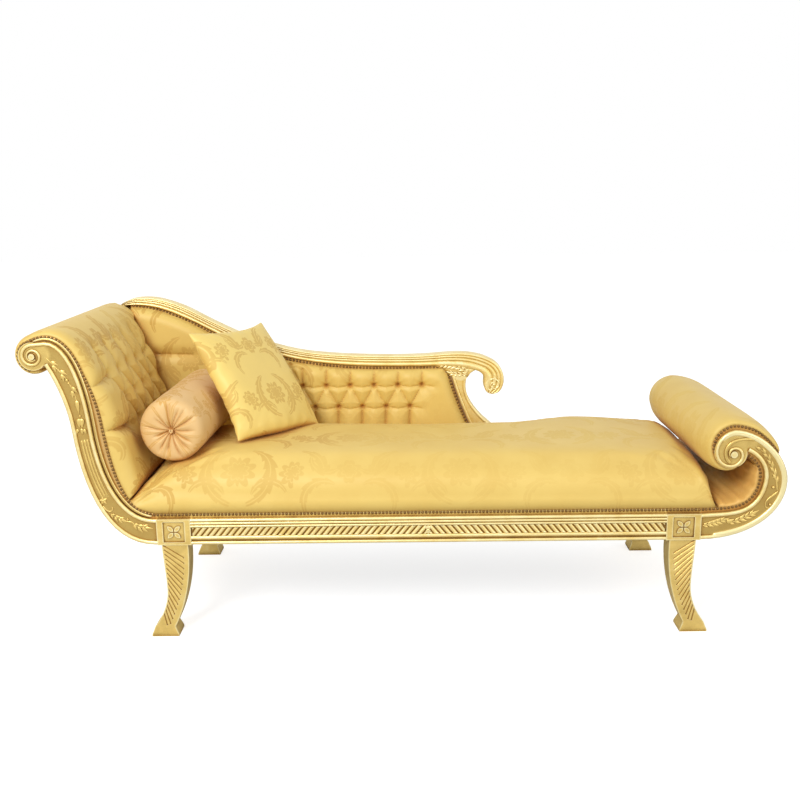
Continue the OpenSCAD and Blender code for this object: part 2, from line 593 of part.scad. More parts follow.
// Back: crest rail and post share a rebate behind their moulded faces for the board
joint_dir = (joint_out - joint_in) / norm(joint_out - joint_in);
function low_hold(d) = [for (i = [3:len(crest_low) - 2]) crest_low[i] + d * left_of(crest_low, i)];
function post_hold(d) = concat([joint_in + d * joint_dir],
  [for (i = [1:len(post_left) - 1]) post_left[i] + d * left_of(post_left, i)]);
crest_foot_x = [crest_at(0.0505, 0)[0] + 12, crest_at(0.115, 0)[0]];
module crest_rail() color(gilt) {
  upright(back_field_y, back_front + back_face_t)
    polygon(concat(crest_top, reversed(hook_inner), reversed(crest_low)));
  hook = [for (a = [0:-18:-396]) on_circle(ball, (hook_ball_r - edge_bead_r) * exp(0.0021 * a), a)];
  bead(concat([for (i = [4:len(crest_top) - 2]) shifted(crest_top, -edge_bead_r)[i]], hook),
    edge_bead_r, 0.6 * edge_bead_r, back_field_y);
  bead([for (i = [6:2:len(crest_top) - 8]) shifted(crest_top, -edge_bead_r * 2 - fine_bead_r)[i]],
    fine_bead_r, fine_bead_r, back_field_y);
  bead([for (i = [0:len(hook_inner) - 3]) shifted(hook_inner, edge_bead_r)[i]],
    edge_bead_r, 0.7 * edge_bead_r, back_field_y);
  upright(back_front + back_face_t, back_rear)
    polygon(concat(crest_top, reversed(hook_inner), [joint_in + board_hold * joint_dir], reversed(low_hold(board_hold))));
  rod(ball, hook_ball_r, back_field_y, back_rear);
  crest_foot();
}
// Short foot under the crest's tip that stands on the back scroll member
module crest_foot() {
  top = [for (p = crest_top) if (p[0] > crest_foot_x[0] && p[0] < crest_foot_x[1]) p - [0, 4]];
  low = [for (p = shifted(head_ledge, -0.05)) if (p[0] > crest_foot_x[0] && p[0] < crest_foot_x[1]) p];
  upright(board_y + board_t + 1, outer_cover_y - 0.5) polygon(concat(top, low));
}
module end_post() color(gilt) {
  upright(back_field_y, back_front + back_face_t) polygon(concat(post_left, reversed(post_right)));
  bead([for (i = [1:len(post_left) - 2]) shifted(post_left, edge_bead_r)[i]], edge_bead_r, edge_bead_r, back_field_y);
  bead([for (i = [1:len(post_right) - 2]) shifted(post_right, -edge_bead_r)[i]], edge_bead_r, edge_bead_r, back_field_y);
  upright(back_front + back_face_t, back_rear) polygon(concat(post_hold(board_hold), reversed(post_right)));
}
board_outline = concat(reversed(post_hold(board_hold - fit_gap)), reversed(low_hold(board_hold - fit_gap)),
  reversed([for (p = shifted(head_ledge, -fit_gap)) if (p[0] > crest_low[3][0] - 8) p]));
module back_board() color(beech) upright(board_y, board_y + board_t) polygon(board_outline);
module back_outer_cover() color(damask)
  upright(outer_cover_y, outer_cover_y + cover_t) polygon(board_outline);
module back_stuffing_rail() color(beech)
  box([head_out_x - 0.25 * head_reach, board_y + board_t, rail_top + 50],
    [post_x + 50, outer_cover_y, rail_top + 90]);
// Small leaf in the angle between the crest rail and the post
module leaf_bracket() color(gilt) {
  upright(back_front - 4, board_y - 2 * soft_gap - lip)
    polygon(concat(
      curve(leaf + [-44, 5.5], leaf + [-24, -4], leaf + [-14, -14], leaf + [-8, -30], 6),
      tail(curve(leaf + [-8, -30], leaf + [2, -46], leaf + [10, -44], leaf + [13, -38], 5)),
      [joint_in + [-0.3, -1], leaf + [-3.6, 7]]));
}

// Webbing, hessian and dust cover
strap_gap = 118;
module webbing_across() color(jute) {
  n = floor((foot_in_x - head_in_x - web_w) / strap_gap);
  for (k = [0:n]) {
    x = mix(head_in_x + web_w / 2 + 8, foot_in_x - web_w / 2 - 8, k / n);
    box([x - web_w / 2, rail_in_y - rebate_w, web_z], [x + web_w / 2, -rail_in_y + rebate_w, web_z + web_t]);
  }
}
web_x0 = head_out_x + rail_t - rebate_w;
web_x1 = foot_out_x - rail_t + rebate_w;
module webbing_along() color(jute) {
  for (k = [-1.5:1:1.5])
    box([web_x0, k * 120 - web_w / 2, web_z + web_t], [web_x1, k * 120 + web_w / 2, web_z + 2 * web_t]);
}
module hessian() color(jute) {
  z0 = web_z + 2 * web_t;
  box([web_x0, block_in_y, z0], [web_x1, -block_in_y, z0 + hessian_t]);
  box([head_in_x, rail_in_y - rebate_w, z0], [foot_in_x, -rail_in_y + rebate_w, z0 + hessian_t]);
}
module dust_cover() color("#4a443c")
  box([head_in_x + 4, front_y + 18, rail_z - 1], [foot_in_x - 4, -front_y - 18, rail_z]);

// A pad has a grid of points on its face and a pair of points under each row
module pad_solid(face, under) {
  n = len(face);
  m = len(face[0]);
  u = n * m;
  points = concat([for (row = face) each row], [for (pair = under) each pair]);
  faces = concat(
    [for (i = [0:n - 2]) for (j = [0:m - 2])
      each [[i * m + j, i * m + j + 1, (i + 1) * m + j + 1], [i * m + j, (i + 1) * m + j + 1, (i + 1) * m + j]]],
    [for (i = [0:n - 2]) let (a = u + 2 * i, f = i * m, g = i * m + m - 1) each [
      [a, a + 2, a + 3], [a, a + 3, a + 1],
      [f, f + m, a + 2], [f, a + 2, a],
      [g, a + 1, a + 3], [g, a + 3, g + m]]],
    [for (j = [0:m - 2]) [u, j + 1, j]], [[u, u + 1, m - 1]],
    [for (j = [0:m - 2]) [u + 2 * n - 2, (n - 1) * m + j, (n - 1) * m + j + 1]],
    [[u + 2 * n - 2, n * m - 1, u + 2 * n - 1]]);
  polyhedron(points, faces);
}
// Where a line bends away from its pad, the pad keeps clear of the curve between two points
function turn(line, k) = let (a = line[k] - line[k - 1], b = line[k + 1] - line[k])
  max(0, b[0] * a[1] - b[1] * a[0]) / norm(a) / 5.5;
function bow(line, i) = max([for (k = [i - 1:i + 1]) if (k > 0 && k < len(line) - 1) turn(line, k)]);
function pad_face(line, y0, rear, across, thick) =
  [for (i = [0:len(line) - 1]) [for (j = [0:across])
    let (y = mix(y0, rear(i), j / across), q = line[i] + (soft_gap + bow(line, i) + thick(i, y)) * left_of(line, i))
    [q[0], y, q[1]]]];
function pad_under(line, y0, rear) =
  [for (i = [0:len(line) - 1])
    let (q = line[i] + (soft_gap + bow(line, i)) * left_of(line, i)) [[q[0], y0, q[1]], [q[0], rear(i), q[1]]]];

// Diamond tufting: p counts half pitches along a row and q counts rows
function ridge(v) = sin(90 * abs(v - 2 * round(v / 2)));
function quilt(p, q) = ridge(p + q) * ridge(p - q);

// Seat cushion, sprung high at its front roll and falling towards the back
seat_x0 = head_out_x - 60;
seat_x1 = foot_out_x + 42;
seat_slope = 120;
function ground(x) = x < head_out_x ? lookup(x, reversed(head_ledge)) :
  x > foot_out_x ? lookup(x, [for (i = [0:15]) foot_ledge[i]]) : rail_top;
// Beyond the end post the seat widens to the back ledge
widen_x = [post_x + 190, post_x + 280];
function seat_rear(x) = mix(wall_y, -ledge_y, clamp((x - widen_x[0]) / (widen_x[1] - widen_x[0])));
function between(a, b, n) = [for (i = [0:n - 1]) mix(a, b, i / n)];
function seat_fall(x) = mix(0.1, 0.02, clamp((x - post_x + 100) / 250));
function seat_h(x, y) = let (u = (x - seat_x0) / (seat_x1 - seat_x0), v = clamp((y - ledge_y) / (seat_rear(x) - ledge_y)))
  mix(seat_rise_head, seat_rise_foot, u) * sqrt(clamp((x - seat_x0) / seat_slope)) * dome(seat_x1 - x, 60)
  * (1 - seat_fall(x) * v) * pow(1 - pow(abs(2 * v - 1), 4), 0.25)
  * (1 - bolster_dent * bell((x - bolster_x) / bolster_r * 1.5) * dome(y - bolster_y0 + 30, 60));
function seat_z(x, y) = max(rail_top + soft_gap + lip + seat_h(x, y), ground(x) + soft_gap + lip);
module seat_cushion() color(damask) {
  across = 24;
  xs = concat(between(seat_x0, seat_x0 + 24, 3), between(seat_x0 + 24, seat_x0 + 100, 3),
    between(seat_x0 + 100, widen_x[0], 11), between(widen_x[0], widen_x[1], 2), between(widen_x[1], seat_x1 - 60, 5),
    between(seat_x1 - 60, seat_x1 - 20, 3), between(seat_x1 - 20, seat_x1, 4), [seat_x1]);
  face = [for (x = xs) [for (j = [0:across])
    let (v = (1 - cos(180 * j / across)) / 2, y = mix(ledge_y, seat_rear(x), v)) [x, y, seat_z(x, y)]]];
  under = [for (x = xs) [[x, ledge_y, ground(x) + soft_gap], [x, seat_rear(x), ground(x) + soft_gap]]];
  pad_solid(face, under);
}

// Head padding runs from the crease at the seat up over the head roll
crease_run = 82;
head_rows = [14, 18, 22];
head_spread = 13;
head_across = 24;
head_line_up = concat(head_ledge, tail(arc(head_c, core_r, 105, 296, 18)));
head_run = run(head_line_up, len(head_line_up) - 1) - crease_run;
head_steps = floor(head_run / head_step);
head_line = reversed(stretch(head_line_up, crease_run, crease_run + head_steps * head_step, head_steps));
tip_clear = crest_at(0.0505, 0)[0] - 6;
board_x = crest_low[3][0] - 8;
function head_rear(i) = lookup(head_line[i][0],
  [[tip_clear - 14, -ledge_y], [tip_clear - 2, board_y + 2], [board_x - 16, board_y + 2], [board_x - 4, wall_y]]);
head_half = (wall_y - ledge_y) / head_across * 2;
function head_thick(i, y) =
  let (k = head_steps - i, edge = min(y - ledge_y, head_rear(i) - y),
    q = (k - head_rows[0]) / 4, p = (y - ledge_y) / head_half - 1,
    zone = clamp((q + 1) / 0.5) * clamp((len(head_rows) - q) / 0.5),
    full = mix(roll_pad_t, head_pad_t, bell((k - head_rows[1] + 10) / head_spread)) - lip,
    puff = full * dome(edge, 50) * dome(k * head_step + 2, 40) * dome((head_steps - k) * head_step + 2, 50))
  lip + puff * (1 - zone * 0.28 * (1 - quilt(p, q)))
    - (tuft_depth - 8) * zone * bell(1.9 * norm([p - round(p), q - round(q)])) * (round(p + q) % 2 == 0 ? 1 : 0)
      * clamp(puff / 30);
module head_pad() color(damask)
  pad_solid(pad_face(head_line, ledge_y, function(i) head_rear(i), head_across, function(i, y) head_thick(i, y)),
    pad_under(head_line, ledge_y, function(i) head_rear(i)));

// Covered button on a tapered shank that reaches the bottom of its tuft
module button() {
  r = button_d / 2;
  rotate_extrude($fn = 24)
    polygon([[0, 0], [0.8, 0], [0.55 * r, 9.5], [r, 11], [r, 12.5], [0.65 * r, 14.6], [0, 15.4]]);
}
module head_buttons() color(damask) {
  for (q = [0:len(head_rows) - 1]) for (p = [q % 2:2:head_across / 2 - 2]) {
    i = head_steps - head_rows[q];
    y = mix(ledge_y, head_rear(i), (p + 1) * 2 / head_across);
    n = left_of(head_line, i);
    c = head_line[i] + (3 * soft_gap + bow(head_line, i) + head_thick(i, y)) * n;
    translate([c[0], y, c[1]]) rotate([0, atan2(n[0], n[1]), 0]) button();
  }
}

// Back padding: a patch between the crest rail, the post, the seat and the head end
back_base_z = rail_top + 60;
back_row_z = low_z - 58;
back_col_x = post_x - 95;
leaf = joint_in + [-12, 16];
function swapped(p) = [for (q = p) [q[1], q[0]]];
ledge_by_z = swapped([for (p = head_ledge) if (p[1] < crest_low[3][1]) p]);
post_by_z = swapped(reversed(post_left));
low_by_x = [for (i = [0:len(crest_low) - 2]) crest_low[i]];
left_knee = rail_top + 250;
function left_x(z) = z < left_knee ? lookup(z, ledge_by_z) + 4 :
  mix(left_x(left_knee - 1), patch_top[0][0], (z - left_knee) / (patch_top[0][1] - left_knee));
function right_x(z) = lookup(z, post_by_z) - 4;
patch_top = concat([for (i = [3:len(crest_low) - 3]) if (crest_low[i][0] < leaf[0] - 50) crest_low[i] - [0, 0.6]],
  [leaf + [-46, 3.5]]);
patch_right = concat([for (k = [0:6]) let (z = mix(back_base_z, leaf[1] - 46, k / 6)) [right_x(z), z]],
  [leaf + [-10, -32], leaf + [-19, -16], leaf + [-29, -6]], [leaf + [-46, 3.5]]);
patch_left = [for (k = [0:14]) let (z = mix(back_base_z, patch_top[0][1], k / 14)) [left_x(z), z]];
patch_base = [patch_left[0], patch_right[0]];
back_nu = 52;
back_nv = 14;
function even(p, n) = let (total = run(p, len(p) - 1)) stretch(p, 0, total - 0.001, n);
patch_t = even(patch_top, back_nu);
patch_b = even(patch_base, back_nu);
patch_l = even(patch_left, back_nv);
patch_r = even(patch_right, back_nv);
function patch(i, j) = let (u = i / back_nu, v = j / back_nv)
  mix(patch_b[i], patch_t[i], v) + mix(patch_l[j], patch_r[j], u)
  - mix(mix(patch_b[0], patch_b[back_nu], u), mix(patch_t[0], patch_t[back_nu], u), v);
back_tufts = concat(
  [for (k = [0:6]) [back_col_x - k * tuft_pitch, back_row_z]],
  [for (k = [0:6]) [back_col_x - (k + 0.5) * tuft_pitch, back_row_z - tuft_row]],
  [for (k = [6:7]) [back_col_x - (k - 0.5) * tuft_pitch, back_row_z + tuft_row]]);
patch_flat = [for (i = [0:back_nu]) for (j = [0:back_nv]) patch(i, j)];
tuft_index = [for (t = back_tufts)
  let (d = [for (p = patch_flat) norm(p - t)], m = min(d)) [for (k = [0:len(d) - 1]) if (d[k] == m) k][0]];
function snapped(k) = let (hit = search(k, tuft_index)) len(hit) > 0 ? back_tufts[hit[0]] : patch_flat[k];
function back_thick(x, z) =
  let (p = (back_col_x - x) / (tuft_pitch / 2), q = (z - back_row_z) / tuft_row,
    zone = clamp((p + 1.2) / 0.8) * clamp((14.5 - p) / 1.5) * clamp((q + 1.7) / 0.5) * clamp((1.6 - q) / 0.5),
    puff = (back_pad_t - lip) * dome(lookup(x, low_by_x) - z + 2, 44) * dome(right_x(z) - x + 2, 44)
      * dome(x - left_x(z) + 2, 30) * dome(z - back_base_z + 8, 30))
  lip + puff * (1 - 0.3 * zone * (1 - quilt(p, q)))
    - (tuft_depth - 6) * zone * bell(1.9 * norm([p - round(p), q - round(q)])) * (round(p + q) % 2 == 0 ? 1 : 0)
      * clamp(puff / 30);
module back_pad() color(damask) {
  face = [for (i = [0:back_nu]) [for (j = [0:back_nv])
    let (q = snapped(i * (back_nv + 1) + j)) [q[0], board_y - soft_gap - back_thick(q[0], q[1]), q[1]]]];
  under = [for (i = [0:back_nu]) let (a = face[i][0], b = face[i][back_nv])
    [[a[0], board_y - soft_gap, a[2]], [b[0], board_y - soft_gap, b[2]]]];
  pad_solid(face, under);
}
module back_buttons() color(damask) {
  for (t = back_tufts)
    translate([t[0], board_y - 3 * soft_gap - back_thick(t[0], t[1]), t[1]]) rotate([90, 0, 0]) button();
}

// Padding of the foot roll and of the hollow under it
roll_line = [for (i = [len(foot_rising) + len(foot_topping) + 16:-1:drum_from]) foot_body[i]];
module foot_roll_pad() color(damask) {
  n = len(roll_line) - 1;
  rear = function(i) -ledge_y;
  thick = function(i, y) lip + (foot_pad_t - lip) * dome(-ledge_y - abs(y), 130) * dome(min(i, n - i) * 14, 40);
  pad_solid(pad_face(roll_line, ledge_y, rear, 16, thick), pad_under(roll_line, ledge_y, rear));
}
hollow_line = [for (p = foot_ledge) if (p[0] > seat_x1 + 3 || p[1] > rail_top + 60) if (p[1] < foot_eye[1] - 34) p];
module foot_inner_pad() color(damask) {
  n = len(hollow_line) - 1;
  rear = function(i) -ledge_y;
  thick = function(i, y) lip + 10 * dome(-ledge_y - abs(y), 60) * dome(min(i, n - i) * 16, 40);
  pad_solid(pad_face(hollow_line, ledge_y, rear, 12, thick), pad_under(hollow_line, ledge_y, rear));
}

// Bolster lying from front to back in the angle of the head end, its front end low and turned to the head
bolster_r = bolster_d / 2;
bolster_x = head_out_x + 54;
bolster_y0 = wall_y - 80 - bolster_len;
bolster_yaw = 5;
bolster_dip = 2.5;
bolster_dent = 0.07;
// The facets of the seat lie a little below its curve
settle = 1.1;
function bolster_at(t) = [bolster_x + t * sin(bolster_yaw), bolster_y0 + bolster_len / 2 + t * cos(bolster_yaw)];
bolster_z = soft_gap - settle + max([for (k = [-0.9:0.1:0.9]) for (t = [10 - bolster_len / 2:20:bolster_len / 2 - 10])
  let (c = bolster_at(t)) seat_z(c[0] + k * bolster_r, c[1]) + bolster_r * sqrt(1 - k * k) - t * tan(bolster_dip)]);
module bolster() color(satin) {
  end = concat(curve([0, 11], [0.1 * bolster_r, 11], [0.2 * bolster_r, 1], [0.5 * bolster_r, 0], 5),
    tail(curve([0.5 * bolster_r, 0], [0.9 * bolster_r, 0], [bolster_r - 2, 14], [bolster_r - 1, 34], 6)),
    [[bolster_r, bolster_len / 2]]);
  far = [for (p = reversed(end)) [p[0], bolster_len - p[1]]];
  translate([bolster_x, bolster_y0 + bolster_len / 2, bolster_z]) rotate([bolster_dip - 90, 0, -bolster_yaw])
    translate([0, 0, -bolster_len / 2]) rotate_extrude() polygon(concat(end, tail(far)));
}

// Square cushion leaning back with its lower seam across the seat
cushion_at = [head_out_x + 231, wall_y - 200];
cushion_yaw = 64;
cushion_lean = 31;
cushion_roll = -3;
cushion_n = 16;
cushion_e = [cos(cushion_yaw), sin(cushion_yaw), 0];
cushion_up = [-sin(cushion_yaw) * sin(cushion_lean), cos(cushion_yaw) * sin(cushion_lean), cos(cushion_lean)];
cushion_out = cross(cushion_e, cushion_up);
cushion_a = cushion_e * cos(cushion_roll) + cushion_up * sin(cushion_roll);
cushion_b = cushion_up * cos(cushion_roll) - cushion_e * sin(cushion_roll);
function cushion_point(i, j, side) =
  let (u = sin(90 * (2 * i / cushion_n - 1)), v = sin(90 * (2 * j / cushion_n - 1)), h = cushion_side / 2,
    full = pow((1 - u * u) * (1 - v * v), 0.4) * (cushion_t / 2 - 1.5) + 1.5)
  cushion_a * h * u * (1 - 0.08 * (1 - v * v)) + cushion_b * h * v * (1 - 0.08 * (1 - u * u))
  + cushion_out * side * full;
cushion_under = [for (i = [0:cushion_n]) for (j = [0:cushion_n]) cushion_point(i, j, -1)];
cushion_lift = soft_gap + max([for (p = cushion_under)
  seat_z(p[0] + cushion_at[0], p[1] + cushion_at[1]) - p[2]]);
module square_cushion() color(damask) {
  n = cushion_n + 1;
  m = n * n;
  over = [for (i = [0:cushion_n]) for (j = [0:cushion_n]) cushion_point(i, j, 1)];
  rim = concat([for (i = [0:cushion_n - 1]) i * n], [for (j = [0:cushion_n - 1]) cushion_n * n + j],
    [for (i = [cushion_n:-1:1]) i * n + cushion_n], [for (j = [cushion_n:-1:1]) j]);
  faces = concat(
    [for (i = [0:cushion_n - 1]) for (j = [0:cushion_n - 1]) let (a = i * n + j) each [
      [a, a + 1, a + n + 1], [a, a + n + 1, a + n],
      [m + a, m + a + n, m + a + n + 1], [m + a, m + a + n + 1, m + a + 1]]],
    [for (k = [0:len(rim) - 1]) let (a = rim[k], b = rim[(k + 1) % len(rim)])
      each [[a, b, m + b], [a, m + b, m + a]]]);
  translate([cushion_at[0], cushion_at[1], cushion_lift]) polyhedron(concat(over, cushion_under), faces);
}

head_scroll_front();
head_scroll_back();
foot_scroll_front();
foot_scroll_back();
block_front_head();
block_front_foot();
block_back_head();
block_back_foot();
leg_front_head();
leg_front_foot();
leg_back_head();
leg_back_foot();
front_rail();
back_rail();
head_cross_rail();
foot_cross_rail();
seat_brace_1();
seat_brace_2();
seat_brace_3();
corner_brace_front_head();
corner_brace_front_foot();
corner_brace_back_head();
corner_brace_back_foot();
brace_screws();
head_roll_core();
head_waist_rail();
head_panel();
foot_roll_core();
foot_waist_rail();
foot_panel();
crest_rail();
end_post();
leaf_bracket();
back_board();
back_stuffing_rail();
webbing_across();
webbing_along();
hessian();
dust_cover();
seat_cushion();
head_pad();
head_buttons();
back_pad();
back_buttons();
foot_roll_pad();
foot_inner_pad();
head_outer_cover();
foot_outer_cover();
back_outer_cover();
bolster();
square_cushion();
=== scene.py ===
import math

import bmesh
import bpy
import numpy as np
from bpy.props import FloatProperty, FloatVectorProperty, IntProperty, PointerProperty
from mathutils import Matrix, Vector


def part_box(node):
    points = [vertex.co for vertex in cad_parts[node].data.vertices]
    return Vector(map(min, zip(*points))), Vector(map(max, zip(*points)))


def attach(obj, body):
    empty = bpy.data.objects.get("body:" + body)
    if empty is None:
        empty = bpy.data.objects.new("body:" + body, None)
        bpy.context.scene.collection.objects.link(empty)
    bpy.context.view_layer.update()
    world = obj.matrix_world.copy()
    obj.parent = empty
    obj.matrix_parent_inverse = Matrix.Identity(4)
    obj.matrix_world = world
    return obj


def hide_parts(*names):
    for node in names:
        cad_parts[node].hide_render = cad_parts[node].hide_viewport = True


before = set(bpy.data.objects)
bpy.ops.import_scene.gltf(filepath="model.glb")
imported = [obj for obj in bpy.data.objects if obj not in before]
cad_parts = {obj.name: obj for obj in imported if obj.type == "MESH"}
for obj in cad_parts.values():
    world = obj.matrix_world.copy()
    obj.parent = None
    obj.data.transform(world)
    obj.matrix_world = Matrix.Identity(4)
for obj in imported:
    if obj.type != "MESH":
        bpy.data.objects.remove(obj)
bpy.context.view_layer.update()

bl_info = {
    "name": "Gilt Chaise Longue",
    "version": (1, 0, 0),
    "blender": (4, 5, 0),
    "location": "View3D > Sidebar > Chaise",
    "description": "Dresses the chaise longue in gilding, carving, nails and damask upholstery",
    "category": "Add Mesh",
}

MM = 0.001


# Sizes and outlines of the frame, in millimetres, X and Z in the plane of the front


def corners(node):
    """Lowest and highest corner of a node of the frame, in millimetres."""
    low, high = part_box(node)
    return np.array(low) * 1000, np.array(high) * 1000


HEAD_X, FRONT_Y, RAIL_Z = corners("block_front_head")[0]
HEAD_IN, _, RAIL_TOP = corners("block_front_head")[1]
FOOT_IN = corners("block_front_foot")[0][0]
FOOT_X = corners("block_front_foot")[1][0]
# The carved field lies behind the beads on the face, and the ledge for the nails behind the face
BEAD_R = 6
LEDGE_W = 11
FACE_T = 12
FACE_TOP = RAIL_TOP - LEDGE_W
FIELD_Y = FRONT_Y + BEAD_R
LEDGE_Y = FRONT_Y + FACE_T
# How far the two ends reach out and up, and the radii of their rolls
HEAD_REACH = 290
HEAD_RISE = 518
FOOT_REACH = 223
FOOT_RISE = 236
CORE_R = 38.5
HEAD_R = 37
FOOT_R = 66
# The back: its frame, the board sunk behind its face and the padding that stands before the board
BACK_LEN = 1109
BACK_T = 50
BOARD_SUNK = 12.2
WALL_PAD = 50.3
BACK_Y = -FRONT_Y - BACK_T
BOARD_Y = BACK_Y + BOARD_SUNK
WALL_Y = BOARD_Y - WALL_PAD
# Room under a pad, and the least thickness of one
GAP = 0.3
THINNEST = 0.5


def point(x, z):
    return np.array([x, z], float)


def bend(a, b, c, d, steps=36):
    """Points along a cubic curve."""
    t = np.linspace(0, 1, steps + 1)[:, None]
    s = 1 - t
    return s**3 * a + 3 * s * s * t * b + 3 * s * t * t * c + t**3 * d


def chain(*parts):
    """Curves joined end to end, without the points that they share."""
    line = [np.atleast_2d(parts[0])]
    for part in parts[1:]:
        part = np.atleast_2d(part)
        if np.allclose(part[0], line[-1][-1]):
            part = part[1:]
        line.append(part)
    return np.concatenate(line)


def on_circle(centre, radius, degrees):
    angle = np.radians(degrees)
    return centre + np.stack([radius * np.cos(angle), radius * np.sin(angle)], -1)


def lefts(line):
    """The unit vector to the left of a line, at each of its points."""
    d = np.gradient(line, axis=0)
    d /= np.linalg.norm(d, axis=1)[:, None]
    return np.stack([-d[:, 1], d[:, 0]], -1)


def shifted(line, distance):
    return line + distance * lefts(line)


def lengths(line):
    """Distance along a line, at each of its points."""
    return np.concatenate([[0], np.cumsum(np.linalg.norm(np.diff(line, axis=0), axis=1))])


def rows_at(where, s, table):
    """Rows read between those of a table, whose own rows stand at the distances s."""
    return np.stack([np.interp(where, s, table[:, k]) for k in range(table.shape[1])], -1)


def walk(line, where):
    """Points of a line at distances along it."""
    return rows_at(where, lengths(line), line)


def along(line, shares):
    """Points of a line at shares of its length."""
    return walk(line, shares * lengths(line)[-1])


def beside(line, shares):
    """Points of a line at shares of its length, and the directions to its left there."""
    s = lengths(line)
    return rows_at(shares * s[-1], s, line), rows_at(shares * s[-1], s, lefts(line))


def evenly(line, count):
    return along(line, np.linspace(0, 1, count + 1))


def wavy(*places, steps=40):
    """A smooth line near its places, from the first to the last."""
    line = np.array(places, float)
    for _ in range(4):
        cut = np.empty((2 * len(line) - 2, line.shape[1]))
        cut[0::2] = 0.75 * line[:-1] + 0.25 * line[1:]
        cut[1::2] = 0.25 * line[:-1] + 0.75 * line[1:]
        line = np.concatenate([line[:1], cut, line[-1:]])
    return evenly(line, steps)


def drawn(centre, *places):
    """A smooth line near places that are given from a centre."""
    return wavy(*(centre + point(*place) for place in places))


def height_of(line, x):
    """Height over X of a line that doesn't turn back."""
    order = np.argsort(line[:, 0])
    return np.interp(x, line[order, 0], line[order, 1])


def mix(a, b, t):
    return a + (b - a) * t


def clamp(x):
    return np.clip(x, 0, 1)


def smooth(x):
    x = clamp(x)
    return x * x * (3 - 2 * x)


def eased(t):
    """From 0 to 1, closer together at both ends."""
    return (1 - np.cos(np.pi * t)) / 2


def dome(distance, reach):
    """Rises from 0 at an edge to 1 at that reach behind it, as stuffing does."""
    return (1 - (1 - clamp(distance / reach)) ** 2.4) ** (1 / 2.4)


def bell(x):
    return np.exp(-x * x)


def head_at(u, v):
    return point(HEAD_X - HEAD_REACH * u, RAIL_Z + HEAD_RISE * v)


def foot_at(u, v):
    return point(FOOT_X + FOOT_REACH * u, RAIL_Z + FOOT_RISE * v)


HEAD_C = head_at(1, 1)
LEAN = point(-0.09, 0.996)
HEAD_MID = head_at(0.707, 0.624)
HEAD_MID_IN = HEAD_MID + 64 * point(0.996, 0.09)
HEAD_TOP = on_circle(HEAD_C, CORE_R, 105)
HEAD_NOSE = on_circle(HEAD_C, HEAD_R, -38)
HEAD_OUTER = chain(
    bend(point(HEAD_X - 4, RAIL_Z), head_at(0.43, 0), head_at(0.648, 0.264), HEAD_MID),
    bend(HEAD_MID, HEAD_MID + 0.085 * HEAD_RISE * LEAN, head_at(0.783, 0.842), HEAD_NOSE, 20),
)
HEAD_START = point(HEAD_X - 4, RAIL_TOP), point(HEAD_X - 0.255 * HEAD_REACH, RAIL_TOP)
HEAD_LEDGE = chain(
    bend(*HEAD_START, HEAD_MID_IN - 0.3 * HEAD_RISE * LEAN, HEAD_MID_IN),
    bend(HEAD_MID_IN, HEAD_MID_IN + 0.185 * HEAD_RISE * LEAN, head_at(0.621, 1.195), HEAD_TOP),
)
HEAD_UP = chain(HEAD_LEDGE, on_circle(HEAD_C, CORE_R, np.linspace(105, 296, 50)))
HEAD_FIELD = (evenly(HEAD_OUTER, 120) + evenly(shifted(HEAD_LEDGE, LEDGE_W), 120)) / 2

FOOT_EYE = foot_at(0.341, 1)
FOOT_MID = foot_at(1, 0.674)
FOOT_MID_IN = FOOT_MID - point(63, 0)
FOOT_CROWN = FOOT_EYE + point(0, FOOT_R)
FOOT_RISING = bend(point(FOOT_X + 4, RAIL_Z), foot_at(0.54, 0), foot_at(1, 0.27), FOOT_MID)
FOOT_TOPPING = bend(FOOT_MID, foot_at(1, 0.97), FOOT_CROWN + point(0.31 * FOOT_REACH, 0), FOOT_CROWN)
RISEN = len(FOOT_RISING)
TOPPED = RISEN + len(FOOT_TOPPING)


def foot_radius(degrees):
    return FOOT_R * np.exp(-0.1757 * np.radians(degrees - 90))


FOOT_TURN = np.linspace(90, 372, 60)
FOOT_CURL = on_circle(FOOT_EYE, np.maximum(foot_radius(FOOT_TURN), 0.545 * FOOT_R), FOOT_TURN)
FOOT_OUTER = chain(FOOT_RISING, FOOT_TOPPING, FOOT_CURL)


def crescent():
    """How far the ledge behind the foot volute stands out, at each point of its outline."""
    topping = clamp((np.linspace(0, 1, len(FOOT_TOPPING)) - 0.25) / 0.5)
    curl = np.where(FOOT_TURN < 184, np.maximum(np.cos(np.radians(FOOT_TURN - 90)), 0), 0)
    return LEDGE_W * np.concatenate([np.zeros(RISEN), topping[1:], curl[1:]])


FOOT_BODY = FOOT_OUTER - crescent()[:, None] * lefts(FOOT_OUTER)
FOOT_INNER = chain(
    bend(point(FOOT_X + 4, FACE_TOP), foot_at(0.314, 0.335), foot_at(0.655, 0.28), FOOT_MID_IN),
    bend(FOOT_MID_IN, FOOT_MID_IN + point(0.03, 0.18) * FOOT_RISE, foot_at(0.62, 0.983), FOOT_CURL[-1], 20),
)
FOOT_LEDGE = shifted(FOOT_INNER, LEDGE_W)[:-3]

LEVEL_Z = RAIL_TOP + 314
LOW_Z = LEVEL_Z - 29
POST_X = HEAD_C[0] + BACK_LEN
JOINT_IN = point(POST_X - 1, LEVEL_Z - 52)
BRACKET = JOINT_IN + point(-12, 16)


def crest_at(u, v):
    return point(HEAD_C[0] + BACK_LEN * u, LEVEL_Z + 199 * v)


